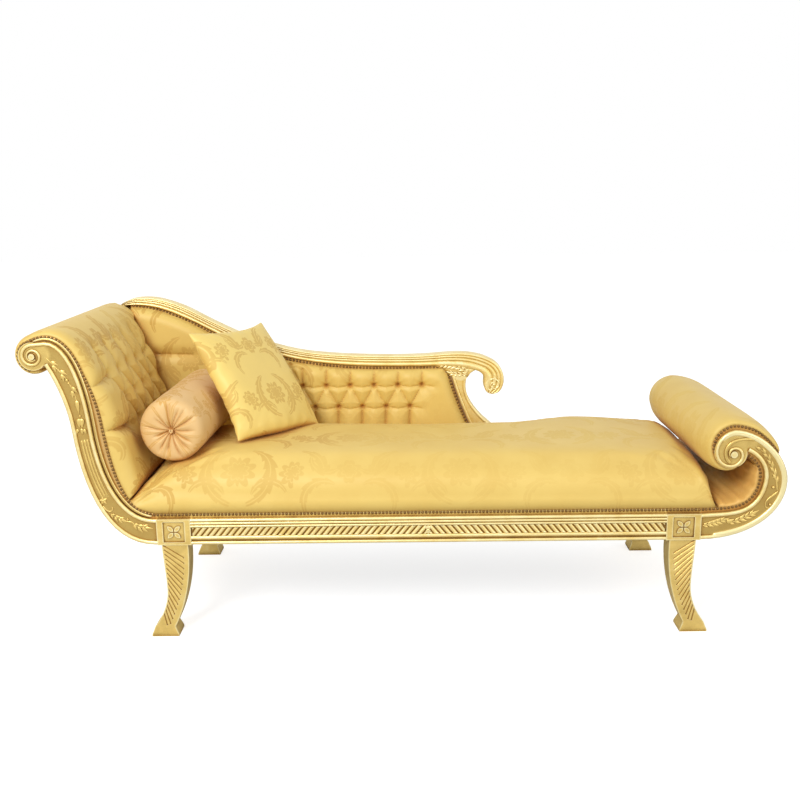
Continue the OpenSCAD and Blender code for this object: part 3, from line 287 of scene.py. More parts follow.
TIP_X = crest_at(0.0505, 0)[0]
CREST_START = [crest_at(*at) for at in ((0.0505, 0.889), (0.1064, 0.965), (0.201, 0.809), (0.282, 0.543))]
CREST_END = point(HEAD_C[0] + 0.575 * BACK_LEN, LOW_Z + 2), point(HEAD_C[0] + 0.7935 * BACK_LEN, LOW_Z)
CREST_LOW = chain(
    bend(*CREST_START),
    bend(crest_at(0.282, 0.543), crest_at(0.404, 0.131), *CREST_END),
    point(POST_X - 16, LOW_Z + 1),
)
POST_LEFT = bend(
    JOINT_IN, JOINT_IN + point(12, -42), point(POST_X + 39, RAIL_TOP + 120), point(POST_X + 109, RAIL_TOP)
)


# Mesh helpers


def grid(bm, columns, rows, place):
    """Adds a grid of faces and puts each point where place(u, v) says, u and v from 0 to 1."""
    made = bmesh.ops.create_grid(bm, x_segments=columns, y_segments=rows, size=0.5)["verts"]
    u, v = (np.array([vert.co[:2] for vert in made]) + 0.5).T
    for vert, where in zip(made, place(u, v)):
        vert.co = where


def upright(xz, y):
    """Points in millimetres from places in the plane of the front and their depth."""
    xz = np.asarray(xz)
    return np.stack([xz[..., 0], np.broadcast_to(y, xz.shape[:-1]), xz[..., 1]], -1)


def round_bead(bm, line, y, start, end, sides=8, flat=0.9):
    """A bead along a line in the plane of the front, from one radius to another, its ends closed."""

    def place(u, v):
        at, side = beside(line, u)
        r = mix(start, end, u) * np.sqrt(np.maximum(1 - np.abs(2 * u - 1) ** 24, 0))
        a = 2 * np.pi * v
        return upright(at + side * (r * np.cos(a))[:, None], y - flat * r * np.sin(a)) * MM

    grid(bm, max(int(lengths(line)[-1] / 3.5), 6), sides, place)


LEAF_LONG = 1.12
LEAF_WIDE = 1.5


def leaf(bm, at, heading, length, width, y, rise=3.2, curl=0.0):
    """A carved leaf: a drop that lies on the ground of the carving and runs out to a point."""
    made = bmesh.ops.create_uvsphere(bm, u_segments=8, v_segments=8, radius=1)["verts"]
    co = np.array([v.co for v in made])
    t = (co[:, 2] + 1) / 2
    length = length * LEAF_LONG
    across = co[:, 0] * (width * LEAF_WIDE) / 2 * (1.15 - 0.95 * t) + curl * length * t * t
    ahead = point(math.cos(math.radians(heading)), math.sin(math.radians(heading)))
    side = point(-ahead[1], ahead[0])
    flat = at + (t * length)[:, None] * ahead + across[:, None] * side
    for vert, where in zip(made, upright(flat, y - co[:, 1] * rise * (1.1 - 0.6 * t)) * MM):
        vert.co = where


def aim(line, u, step=0.02):
    """The point at a share of a line's length, and the way the line runs there, in degrees."""
    at, ahead = along(line, np.array([u, min(u + step, 1)]))
    return at, math.degrees(math.atan2(*(ahead - at)[::-1]))


def twig(bm, line, u, side, y, leaves):
    """Leaves that spring from one point of a stem, each with its turn, length, width and rise."""
    at, way = aim(line, u)
    for turn, length, width, rise in leaves:
        leaf(bm, at, way + side * turn, length, width, y, rise, -side * 0.2)


def spray(bm, line, width, pairs, y, lean=40, rise=3.0):
    """A toothed leaf along a line: a rib with pairs of small leaves and one at its tip."""
    for number in range(pairs):
        u = (number + 0.4) / (pairs + 0.4)
        at, way = aim(line, u)
        size = width * (0.55 + 0.55 * math.sin(math.pi * (0.1 + 0.8 * u)))
        for side in (-1, 1):
            leaf(bm, at, way + side * lean, size, size * 0.46, y, rise, -side * 0.16)
    leaf(bm, *aim(line, 0.86, 0.14), width * 1.3, width * 0.5, y, rise)
    round_bead(bm, line, y, 2.1, 1.3)


def ball(bm, where, radius, sides=8, rings=6, shape=Matrix()):
    """A ball at a place in millimetres, its radius in metres, turned and flattened by a matrix."""
    matrix = Matrix.Translation(Vector(where) * MM) @ shape
    bmesh.ops.create_uvsphere(bm, u_segments=sides, v_segments=rings, radius=radius, matrix=matrix)


def pearl(bm, at, radius, y):
    """A carved pearl."""
    ball(bm, upright(at, y), radius * MM, 10)


def button(bm, where, out):
    """A cloth-covered button, domed, its back inside the tuft."""
    turn = Vector(out).to_track_quat("Z", "Y").to_matrix().to_4x4()
    ball(bm, where, sizes().button_d / 2, 12, 8, turn @ Matrix.Diagonal((1, 1, 0.55, 1)))


def loft(bm, pairs, ring, stations):
    """A closed bar between an upper and a lower line; ring gives its section, height and depth."""
    line = wavy(*pairs, steps=stations)
    heights, depths = (np.array(part, float) for part in zip(*ring))
    turns = np.linspace(0, 1, len(ring))

    def place(u, v):
        at = along(line, u)
        end = (u < 1e-6) | (u > 1 - 1e-6)
        height = np.where(end, 0.5, np.interp(v, turns, heights))
        depth = np.where(end, np.mean(depths), np.interp(v, turns, depths))
        return upright(mix(at[:, 2:], at[:, :2], height[:, None]), depth) * MM

    grid(bm, stations, len(ring) - 1, place)


def finish_mesh(bm, name, weld=1e-6):
    """Merges what coincides, turns the faces outwards and makes the object."""
    if weld:
        bmesh.ops.remove_doubles(bm, verts=bm.verts, dist=weld)
        bmesh.ops.recalc_face_normals(bm, faces=bm.faces)
    mesh = bpy.data.meshes.new(name)
    bm.to_mesh(mesh)
    bm.free()
    mesh.shade_smooth()
    piece = bpy.data.objects.new(name, mesh)
    bpy.context.scene.collection.objects.link(piece)
    return piece


def coordinates(mesh):
    co = np.empty(len(mesh.vertices) * 3, np.float32)
    mesh.vertices.foreach_get("co", co)
    return co.reshape(-1, 3).astype(float)


def set_coordinates(mesh, co):
    mesh.vertices.foreach_set("co", co.astype(np.float32).ravel())
    mesh.update()


def cloth_map(mesh, uv):
    """Keeps where each point was on the flat cloth, in metres."""
    index = np.empty(len(mesh.loops), np.int32)
    mesh.loops.foreach_get("vertex_index", index)
    layer = mesh.uv_layers.new(name="cloth")
    layer.uv.foreach_set("vector", uv[index].astype(np.float32).ravel())


def dress(piece, finish, nodes=(), body="root"):
    """Gives a piece its finish, the nodes it stands for and its body."""
    piece.data.materials.clear()
    piece.data.materials.append(finish_of(finish))
    if nodes:
        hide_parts(*nodes)
    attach(piece, body)
    return piece


def make_piece(bm, name, finish, nodes=(), weld=0):
    return dress(finish_mesh(bm, name, weld), finish, nodes)


CLOTH_FRAMES = 20
CLOTH_STIFFNESS = 15


def inflate(piece, pinned, pressure, cap):
    """Lets air into the cover as cloth for some frames, and moves no point further than the cap."""
    start = coordinates(piece.data)
    group = piece.vertex_groups.new(name="held")
    for index, weight in enumerate(pinned):
        if weight > 0:
            group.add([index], float(weight), "REPLACE")
    cloth = piece.modifiers.new("Cloth", "CLOTH")
    cloth.settings.quality = 6
    cloth.settings.use_pressure = True
    cloth.settings.uniform_pressure_force = pressure
    cloth.settings.effector_weights.gravity = 0
    cloth.settings.tension_stiffness = CLOTH_STIFFNESS
    cloth.settings.compression_stiffness = CLOTH_STIFFNESS
    cloth.settings.bending_stiffness = 0.3
    cloth.settings.vertex_group_mass = "held"
    scene = bpy.context.scene
    for number in range(1, CLOTH_FRAMES + 1):
        scene.frame_set(number)
    evaluated = piece.evaluated_get(bpy.context.evaluated_depsgraph_get())
    end = coordinates(evaluated.data)
    piece.modifiers.remove(cloth)
    scene.frame_set(1)
    move = end - start
    far = np.linalg.norm(move, axis=1)
    move *= np.minimum(1, cap / np.maximum(far, 1e-9))[:, None]
    set_coordinates(piece.data, start + move)


def pad(name, columns, rows, shape, pressure=0, cap=0):
    """A pad; shape gives its face and underside in millimetres, and its flat cloth in metres."""
    bm = bmesh.new()
    bmesh.ops.create_grid(bm, x_segments=columns, y_segments=rows, size=0.5)
    u, v = (np.array([vert.co[:2] for vert in bm.verts]) + 0.5).T
    piece = finish_mesh(bm, name, weld=0)
    face, under, cloth = shape(u, v)
    top = face * MM
    base = under * MM
    rim = np.minimum(np.minimum(u, 1 - u), np.minimum(v, 1 - v)) < 1e-5
    top[rim] = base[rim]
    set_coordinates(piece.data, top)
    if pressure:
        inflate(piece, rim, pressure, cap)
    cloth_map(piece.data, cloth)
    bm = bmesh.new()
    bm.from_mesh(piece.data)
    copy = bmesh.ops.duplicate(bm, geom=bm.verts[:] + bm.edges[:] + bm.faces[:])
    below = [g for g in copy["geom"] if isinstance(g, bmesh.types.BMVert)]
    for vert, where in zip(below, base):
        vert.co = where
    bmesh.ops.remove_doubles(bm, verts=bm.verts, dist=1e-6)
    bmesh.ops.recalc_face_normals(bm, faces=bm.faces)
    bm.to_mesh(piece.data)
    bm.free()
    piece.data.shade_smooth()
    return piece


# Shader helpers


class Value:
    """One output of a node, which takes part in plain Python sums."""

    def __init__(self, kit, socket):
        self.kit = kit
        self.socket = socket

    def __add__(self, other):
        return self.kit.math("ADD", self, other)

    def __sub__(self, other):
        return self.kit.math("SUBTRACT", self, other)

    def __rsub__(self, other):
        return self.kit.math("SUBTRACT", other, self)

    def __mul__(self, other):
        return self.kit.math("MULTIPLY", self, other)

    def __truediv__(self, other):
        return self.kit.math("DIVIDE", self, other)

    def __rtruediv__(self, other):
        return self.kit.math("DIVIDE", other, self)

    def __abs__(self):
        return self.kit.math("ABSOLUTE", self)

    __radd__ = __add__
    __rmul__ = __mul__


class Nodes:
    """A tree of shader nodes under construction."""

    def __init__(self, tree):
        self.tree = tree
        tree.nodes.clear()

    def node(self, kind, settings=None, inputs=None, output=0):
        """Adds a node of that type, with its settings made first and then its sockets fed."""
        made = self.tree.nodes.new(kind)
        for key, value in (settings or {}).items():
            if key == "stops":
                self.stops(made.color_ramp, value)
            else:
                setattr(made, key, value)
        for key, value in (inputs or {}).items():
            self.feed(made.inputs[key], value)
        return Value(self, made.outputs[output]) if made.outputs else None

    def stops(self, ramp, stops):
        while len(ramp.elements) > 1:
            ramp.elements.remove(ramp.elements[0])
        for number, (place, colour) in enumerate(stops):
            stop = ramp.elements[0] if number == 0 else ramp.elements.new(place)
            stop.position = place
            stop.color = (*colour, 1)

    def feed(self, socket, value):
        if isinstance(value, Value):
            self.tree.links.new(value.socket, socket)
        elif isinstance(value, (int, float)):
            socket.default_value = value
        else:
            four = len(value) == 3 and len(socket.default_value) == 4
            socket.default_value = (*value, 1) if four else value

    def math(self, operation, a, b=0.0, c=0.0):
        return self.node("ShaderNodeMath", {"operation": operation}, {0: a, 1: b, 2: c})


class Finish(Nodes):
    """A material under construction."""

    def __init__(self, name):
        self.material = bpy.data.materials.new(name)
        self.material.use_nodes = True
        super().__init__(self.material.node_tree)

    def distance(self, a, b):
        return self.math("SQRT", a * a + b * b)

    def blend(self, a, b, factor):
        """A mix of two colours."""
        return self.node("ShaderNodeMix", {"data_type": "RGBA"}, {0: factor, 6: a, 7: b}, 2)

    def between(self, x, low, high):
        """0 below low and 1 above high, smooth between them."""
        settings = {"interpolation_type": "SMOOTHSTEP"}
        return self.node("ShaderNodeMapRange", settings, {0: x, 1: low, 2: high, 3: 0.0, 4: 1.0})

    def split(self, vector):
        made = self.tree.nodes.new("ShaderNodeSeparateXYZ")
        self.feed(made.inputs[0], vector)
        return [Value(self, made.outputs[k]) for k in range(3)]

    def join(self, x, y, z=0.0):
        return self.node("ShaderNodeCombineXYZ", None, {0: x, 1: y, 2: z})

    def place(self):
        return self.node("ShaderNodeTexCoord", None, None, 3)

    def noise(self, vector, scale, detail=4.0, rough=0.5):
        inputs = {"Vector": vector, "Scale": scale, "Detail": detail, "Roughness": rough}
        return self.node("ShaderNodeTexNoise", None, inputs)

    def open_air(self, distance, inside=False):
        """How open the surface is within a distance, outside it or in the solid under it."""
        settings = {"samples": 8, "inside": inside}
        return self.node("ShaderNodeAmbientOcclusion", settings, {"Distance": distance}, 1)

    def bump(self, height, distance, strength):
        inputs = {"Height": height, "Distance": distance, "Strength": strength}
        return self.node("ShaderNodeBump", None, inputs)

    def surface(self, **inputs):
        """The surface shader, with the colour, roughness and so on that the words give."""
        named = {key.replace("_", " "): value for key, value in inputs.items()}
        shader = self.node("ShaderNodeBsdfPrincipled", None, named)
        self.node("ShaderNodeOutputMaterial", None, {0: shader})
        return self.material


# Finishes


def gilt(k, ground=0.0, lift=0.0):
    """Gold leaf with painted shade in its hollows and painted highlights on its ridges: ground says how much
    painted shade darkens the flat ground of the carving, and lift brightens the whole.
    """
    c = colours()
    where = k.place()
    x, y, z = k.split(where)
    # Painted shade: where hollows close the surface in, the leaf goes toward the deepest colour
    deep = k.between(k.open_air(0.016), 0.3, 0.97)
    # Painted highlight: on convex ridges and beads, found from the solid under them, the leaf goes toward
    # the brightest colour
    proud = 1 - k.between(k.open_air(0.005, True), 0.5, 0.98)
    patchy = k.noise(where, 26.0, 5.0, 0.6)
    fine = k.noise(where, 260.0, 3.0, 0.6)
    tone = deep * 0.72 + proud * 0.3 + patchy * 0.46 + fine * 0.1 - (0.26 - lift)
    if ground:
        # Painted shade: the flat ground of the carving is darkened as the dimmer reflection a flat face
        # shows, less so round the scroll eyes
        field = 1 - k.between(abs(y - FIELD_Y * MM), 0.0005, 0.0011)
        for eye, reach in ((HEAD_C, 0.04), (FOOT_EYE, 0.06)):
            away = k.distance(x - eye[0] * MM, z - eye[1] * MM)
            field = field * (k.between(away, reach, reach + 0.012) * 0.7 + 0.3)
        tone = tone - field * (patchy * 0.9 + 0.45) * ground
        # Painted highlight: the foremost faces, the crowns of the beads, are lightened
        tone = tone + (1 - k.between(y, (FRONT_Y + 1) * MM, (FRONT_Y + 4.5) * MM)) * 0.17
    stops = [
        (0.0, c.gilt_hollow_shade), (0.3, c.gilt_mid), (0.52, c.gilt_half_shade),
        (0.78, c.gilt_light), (1.0, c.gilt_painted_highlight),
    ]
    colour = k.node("ShaderNodeValToRGB", {"stops": stops}, {0: tone})
    if ground:
        ledge = 1 - k.between(abs(y - LEDGE_Y * MM), 0.0012, 0.002)
        colour = k.blend(colour, c.gilt_red, ledge * 0.75)
    rough = 0.42 - deep * 0.1 - proud * 0.08 + fine * 0.12
    normal = k.bump(patchy * 0.6 + fine * 0.3, 0.0016, 0.8)
    return k.surface(Base_Color=colour, Metallic=0.55, Roughness=rough, Normal=normal)


PATTERN_WIDE = 0.3
PATTERN_HIGH = 0.42
# Each leaf has a centre, a radius, its first and last angle, a width and its teeth
PATTERN_LEAVES = (
    (0.0, 0.105, 0.088, -1.35, 1.25, 0.021, 7.0),
    (0.15, 0.315, 0.082, 1.75, 4.4, 0.02, 7.0),
    (0.068, 0.235, 0.055, -0.6, 2.2, 0.015, 5.0),
    (0.085, 0.03, 0.05, 0.4, 2.9, 0.013, 5.0),
    (0.06, 0.36, 0.045, -2.6, 0.3, 0.012, 5.0),
)
# Each flower has a centre, a reach and its petals
PATTERN_FLOWERS = (
    (0.0, 0.11, 0.05, 9.0), (0.0, 0.32, 0.036, 7.0), (0.15, 0.32, 0.03, 8.0), (0.15, 0.1, 0.04, 9.0),
)


def damask(k, ground_tint, figure_tint, shade_tint, fold_shade_tint, scale=1.0, strength=1.0, even=False):
    """Satin damask: mirrored scrolling leaves and palmettes, woven matt on a glossy ground, with painted
    shade in its folds and tufts and, unless even, a figure painted fainter towards +X for sheen.
    """
    u, v, _ = k.split(k.node("ShaderNodeUVMap", {"uv_map": "cloth"}))
    wide = PATTERN_WIDE * scale
    high = PATTERN_HIGH * scale
    odd = k.math("MODULO", abs(k.math("FLOOR", u / wide)), 2.0)
    x = abs(k.math("FRACT", u / wide) - 0.5) * wide
    y = k.math("FRACT", v / high + odd * 0.5) * high

    def polar(cx, cy):
        """Distance and angle from a point of the pattern."""
        dx = x - cx * scale
        dy = y - cy * scale
        return k.distance(dx, dy), k.math("ARCTAN2", dy, dx)

    def arc_leaf(cx, cy, radius, start, end, width, teeth):
        """A leaf that follows an arc and has a toothed edge."""
        r, angle = polar(cx, cy)
        t = (angle - start) / (end - start)
        inside = k.between(t, 0.0, 0.03) * (1 - k.between(t, 0.97, 1.0))
        tooth = k.math("FRACT", t * teeth)
        swell = k.math("SINE", k.math("MINIMUM", k.math("MAXIMUM", t, 0.0), 1.0) * math.pi)
        half = (swell * 0.8 + 0.2) * (1 - tooth * 0.42) * width * scale
        off = abs(r - radius * scale)
        body = 1 - k.between(off - half, -0.0012, 0.0012)
        vein = k.between(off, 0.0008, 0.0022)
        return body * inside * (vein * 0.75 + 0.25)

    def flower(cx, cy, reach, petals):
        """A round flower with a darker heart."""
        r, angle = polar(cx, cy)
        lobes = abs(k.math("SINE", angle * (petals / 2))) * 0.35 + 0.65
        ring = 1 - k.between(r - lobes * reach * scale, -0.001, 0.001)
        heart = k.between(abs(r - lobes * (reach * 0.6 * scale)), 0.001, 0.0025)
        return ring * (heart * 0.8 + 0.2)

    masks = [arc_leaf(*shape) for shape in PATTERN_LEAVES] + [flower(*shape) for shape in PATTERN_FLOWERS]
    figure = masks[0]
    for mask in masks[1:]:
        figure = k.math("MAXIMUM", figure, mask)
    where = k.place()
    soft = k.noise(where, 9.0, 3.0, 0.55)
    thread = k.noise(k.join(u * 60.0, v * 900.0), 1.0, 2.0, 0.5)
    figure_shown_and_sheen = 1.0
    if not even:
        figure_shown_and_sheen = k.between(k.noise(where, 2.6, 1.0, 0.5), 0.34, 0.62) * 0.75 + 0.25
        # Painted sheen: the figure shows less towards +X, as though the glossy ground's sheen washed it out
        # there
        figure_shown_and_sheen = figure_shown_and_sheen * (1.5 - k.between(k.split(where)[0], -0.4, 0.25) * 1.15)
    colour = k.blend(ground_tint, shade_tint, soft)
    colour = k.blend(colour, figure_tint, figure * figure_shown_and_sheen * (0.5 * strength))
    colour = k.blend(colour, shade_tint, thread * 0.22)
    # Painted shade: where folds and tufts close the cloth in, it goes toward the fold colour
    colour = k.blend(colour, fold_shade_tint, (1 - k.between(k.open_air(0.04), 0.2, 0.9)) * 0.72)
    rough = 0.46 + figure * 0.16 + thread * 0.1
    normal = k.bump(figure * 0.35 + thread * 0.3 + soft * 0.4, 0.0008, 0.45)
    sheen = {"Sheen_Weight": 0.06, "Sheen_Roughness": 0.4}
    return k.surface(Base_Color=colour, Roughness=rough, Normal=normal, **sheen)


def plain_cloth(k, base, shade, rough, weave):
    """A plain woven cloth with a fine slub."""
    where = k.place()
    x, y, z = k.split(where)
    soft = k.noise(where, 14.0, 3.0, 0.55)
    slub = k.noise(k.join(x * weave, y * weave, z * weave * 0.2), 1.0, 2.0, 0.5)
    colour = k.blend(base, shade, soft * 0.5 + slub * 0.35)
    normal = k.bump(slub * 0.5 + soft * 0.5, 0.0006, 0.4)
    return k.surface(Base_Color=colour, Roughness=slub * 0.12 + rough, Normal=normal, Sheen_Weight=0.1)


def timber(k, light, dark):
    """Plain wood, its grain running along X."""
    x, y, z = k.split(k.place())
    rings = k.noise(k.join(x * 3.0, y * 60.0, z * 60.0), 1.0, 5.0, 0.6)
    pores = k.noise(k.join(x * 40.0, y * 900.0, z * 900.0), 1.0, 2.0, 0.5)
    colour = k.blend(light, dark, rings * 0.8 + pores * 0.2)
    normal = k.bump(rings * 0.4 + pores * 0.6, 0.0004, 0.5)
    return k.surface(Base_Color=colour, Roughness=rings * 0.2 + 0.5, Normal=normal)


def metal(k, base, dark, rough=0.35):
    """Metal with light tarnish."""
    spots = k.noise(k.place(), 120.0, 4.0, 0.6)
    return k.surface(Base_Color=k.blend(base, dark, spots), Metallic=0.9, Roughness=spots * 0.3 + rough)


def colours():
    return bpy.context.scene.chaise_colours


def sizes():
    return bpy.context.scene.chaise_sizes


# Each finish: its maker and what the maker is given, where a word names one of the colours
FINISHES = {
    "gilding": (gilt,),
    # This gilding also paints shade on the flat ground of the carving and highlights on the foremost beads
    "toned_gilding": (gilt, 0.27),
    "bright_gilding": (gilt, 0.0, 0.14),
    "carved_gilding": (gilt, 0.0, -0.3),
    "damask": (damask, "cloth_ground", "cloth_figure", "cloth_shade", "cloth_fold", 1.0, 1.25),
    "cushion_damask": (
        damask, "cushion_ground", "cloth_figure", "cloth_ground", "cloth_fold", 0.8, 1.35, True,
    ),
    # The warmer ground in the hollow paints warm bounced light
    "warm_damask": (damask, "cloth_warm", "cloth_figure", "satin_figure", "satin_figure"),
    "satin": (damask, "satin", "satin_figure", "satin_shade", "cloth_fold", 0.5, 1.5),
    "beech": (timber, (0.52, 0.33, 0.16), (0.36, 0.2, 0.08)),
    "jute": (plain_cloth, (0.36, 0.25, 0.13), (0.2, 0.13, 0.06), 0.8, 260.0),
    "lining": (plain_cloth, (0.07, 0.06, 0.05), (0.03, 0.027, 0.022), 0.85, 400.0),
    "steel": (metal, (0.42, 0.42, 0.43), (0.2, 0.19, 0.18)),
    "brass": (metal, "nail", (0.05, 0.025, 0.008), 0.38),
}
MADE = {}


def finish_of(name):
    """Makes each finish once, on first use."""
    if name not in MADE:
        maker, *given = FINISHES[name]
        given = [getattr(colours(), word) if isinstance(word, str) else word for word in given]
        MADE[name] = maker(Finish(name), *given)
    return MADE[name]


class ChaiseColours(bpy.types.PropertyGroup):
    """Colours of the finishes"""

    def tint(label, text, value):
        kind = {"subtype": "COLOR", "size": 3, "min": 0, "max": 1}
        return FloatVectorProperty(name=label, description=text, default=value, **kind)

    gilt_light: tint("Gilt", "Gold leaf on the faces", (0.86, 0.63, 0.2))
    # The burnished colour is the painted highlight on ridges and beads of the mouldings
    gilt_painted_highlight: tint("Burnished gilt", "Gold leaf burnished bright on the mouldings", (0.98, 0.86, 0.46))
    # Painted shade: the half-shaded colour of the carving's flat ground and shallow hollows
    gilt_half_shade: tint("Toned gilt", "Gold leaf on the ground of the carving", (0.55, 0.38, 0.105))
    gilt_mid: tint("Shaded gilt", "Gold leaf on the sides of the carving", (0.45, 0.24, 0.05))
    gilt_red: tint("Ledge gilt", "Warmer leaf on the ledge beside the nails", (0.6, 0.31, 0.075))
    # Painted shade: the colour of the deepest hollows of the gilding
    gilt_hollow_shade: tint("Deep gilt", "Toning in the hollows", (0.2, 0.085, 0.015))
    cloth_ground: tint("Damask ground", "Glossy ground of the damask", (0.84, 0.625, 0.185))
    cushion_ground: tint("Cushion ground", "Ground of the square cushion's damask", (0.93, 0.7, 0.2))
    # Painted light: this warmer ground stands for warm light bounced round inside the hollow
    cloth_warm: tint("Hollow damask", "Ground of the damask in the foot end's hollow", (1.0, 0.6, 0.16))
    cloth_figure: tint("Damask figure", "Matt leaves of the damask", (0.62, 0.38, 0.08))
    cloth_shade: tint("Damask shade", "Darker threads of the damask", (0.72, 0.485, 0.115))
    cloth_fold: tint("Damask folds", "Warm shade deep in the folds and tufts", (0.5, 0.2, 0.03))
    satin: tint("Satin", "Satin of the bolster", (0.84, 0.58, 0.27))
    satin_shade: tint("Satin shade", "Darker threads of the satin", (0.7, 0.43, 0.16))
    satin_figure: tint("Satin figure", "Golden leaves woven in the satin", (0.66, 0.38, 0.1))
    nail: tint("Nails", "Antique brass of the nail heads", (0.42, 0.25, 0.09))


class ChaiseSizes(bpy.types.PropertyGroup):
    """Sizes of the dressing"""

    def size(label, text, value, low, high):
        return FloatProperty(name=label, description=text, default=value, min=low, max=high, unit="LENGTH")

    nail_d: size("Nail head", "Diameter of a nail head", 0.0074, 0.004, 0.014)
    nail_pitch: size("Nail pitch", "Distance between nails", 0.0096, 0.005, 0.02)
    button_d: size("Button", "Diameter of a covered button", 0.0095, 0.006, 0.02)
    pleats: IntProperty(
        name="Bolster pleats", description="Gathers round each end of the bolster", default=15, min=8, max=30
    )
    air: FloatProperty(
        name="Filling", description="Pressure of the stuffing in the pads", default=4.0, min=0, max=12
    )


# The stage and the nodes of the frame

FLOOR_HALF = 14
LAMPS = (
    ("key", 105.0, 1.6, (-1.6, -3.2, 3.0), (0, 0, 0.45)),
    ("fill", 26.0, 2.6, (3.0, -2.6, 1.8), (0, 0, 0.5)),
)
CAMERA_LENS = 42.2
CAMERA_AT = (0.00925, -2.698, 1.196)
CAMERA_AXES = (
    (0.9999061, 0.00519928, -0.01267934),
    (0.01122147, 0.22044939, 0.97533386),
    (0.00786618, -0.97538456, 0.22037034),
)
CORNERS = [f"{side}_{end}" for side in ("front", "back") for end in ("head", "foot")]
END_PARTS = ("cross_rail", "roll_core", "waist_rail", "panel")
GILT_NODES = {
    "toned_gilding": ["head_scroll_front", "foot_scroll_front"],
    "gilding": [
        "head_scroll_back", "foot_scroll_back", "back_rail",
        *(f"{part}_{corner}" for part in ("block", "leg") for corner in CORNERS),
    ],
    "bright_gilding": ["end_post", "front_rail"],
}
INNER_NODES = {
    "beech": [
        "back_board", "back_stuffing_rail",
        *(f"seat_brace_{number}" for number in (1, 2, 3)),
        *(f"corner_brace_{corner}" for corner in CORNERS),
        *(f"{end}_{part}" for end in ("head", "foot") for part in END_PARTS),
    ],
    "jute": ["webbing_across", "webbing_along", "hessian"],
    "lining": ["dust_cover"],
    "steel": ["brace_screws"],
}
SOFT_EDGES = {"head_scroll_front": 42, "foot_scroll_front": 42, "end_post": 42, "front_rail": 50}
OTHER_EDGES = 30


def finish_nodes(table):
    """Gives nodes of the frame their finishes, their flat faces smooth across soft edges only."""
    for name, nodes in table.items():
        for node in nodes:
            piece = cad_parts[node]
            piece.data.materials.clear()
            piece.data.materials.append(finish_of(name))
            piece.data.shade_smooth()
            piece.modifiers.new("Weld", "WELD").merge_threshold = 0.00001
            split = piece.modifiers.new("Edges", "EDGE_SPLIT")
            split.split_angle = math.radians(SOFT_EDGES.get(node, OTHER_EDGES))


class CHAISE_OT_stage(bpy.types.Operator):
    """Sets up the floor, the light and the camera"""

    bl_idname = "chaise.stage"
    bl_label = "Stage"

    def execute(self, context):
        scene = context.scene
        scene.view_settings.view_transform = "Standard"
        self.floor()
        self.world(scene)
        for name, energy, size, place, aim_at in LAMPS:
            light = bpy.data.lights.new(name, "AREA")
            light.energy = energy
            light.size = size
            lamp = bpy.data.objects.new(name, light)
            lamp.location = place
            lamp.rotation_euler = (Vector(aim_at) - Vector(place)).to_track_quat("-Z", "Y").to_euler()
            scene.collection.objects.link(lamp)
        camera = bpy.data.cameras.new("camera")
        camera.lens = CAMERA_LENS
        camera.sensor_width = 36
        camera.clip_end = 100
        holder = bpy.data.objects.new("camera", camera)
        holder.matrix_world = Matrix.Translation(CAMERA_AT) @ Matrix(CAMERA_AXES).transposed().to_4x4()
        scene.collection.objects.link(holder)
        scene.camera = holder
        return {"FINISHED"}

    def floor(self):
        bm = bmesh.new()
        bmesh.ops.create_grid(bm, x_segments=1, y_segments=1, size=FLOOR_HALF)
        floor = finish_mesh(bm, "floor", weld=0)
        k = Finish("floor")
        camera_ray = k.node("ShaderNodeLightPath")
        seen = k.node("ShaderNodeBsdfDiffuse", None, {"Color": (0.72, 0.72, 0.72)})
        glow = k.node("ShaderNodeEmission", None, {"Color": (1, 1, 1), "Strength": 0.7})
        seen = k.node("ShaderNodeAddShader", None, {0: seen, 1: glow})
        lit = k.node("ShaderNodeBsdfDiffuse", None, {"Color": (0.7, 0.68, 0.64)})
        shader = k.node("ShaderNodeMixShader", None, {0: camera_ray, 1: lit, 2: seen})
        k.node("ShaderNodeOutputMaterial", None, {0: shader})
        floor.data.materials.append(k.material)

    def world(self, scene):
        """White where it is seen, mirrored or shows through glass, and dimmer as a light."""
        scene.world = bpy.data.worlds.new("studio")
        scene.world.use_nodes = True
        k = Nodes(scene.world.node_tree)
        rays = [f"Is {kind} Ray" for kind in ("Camera", "Glossy", "Transmission")]
        camera, glossy, through = (k.node("ShaderNodeLightPath", output=ray) for ray in rays)
        seen = k.math("MAXIMUM", camera, k.math("MAXIMUM", glossy, through))
        strength = k.node("ShaderNodeMapRange", None, {0: seen, 3: 0.6, 4: 1.0})
        back = k.node("ShaderNodeBackground", None, {0: (1, 1, 1), 1: strength})
        k.node("ShaderNodeOutputWorld", None, {0: back})


class CHAISE_OT_gilding(bpy.types.Operator):
    """Gilds the show-wood of the frame"""

    bl_idname = "chaise.gilding"
    bl_label = "Gilding"

    def execute(self, context):
        finish_nodes(GILT_NODES)
        return {"FINISHED"}


class CHAISE_OT_inner_frame(bpy.types.Operator):
    """Finishes the hidden woodwork, webbing, lining and screws"""

    bl_idname = "chaise.inner_frame"
    bl_label = "Inner frame"

    def execute(self, context):
        finish_nodes(INNER_NODES)
        return {"FINISHED"}


# Mouldings, crest and carving


WAIST_Z = 548
WAIST_REACH = 186
WAIST_WIDE = 14.5
WAIST_ENDS = 2.5


def waist(z):
    """How far the inner edge of the head scroll's face stands in over the padding at its waist."""
    return WAIST_ENDS + WAIST_WIDE * np.maximum(1 - ((z - WAIST_Z) / WAIST_REACH) ** 2, 0)


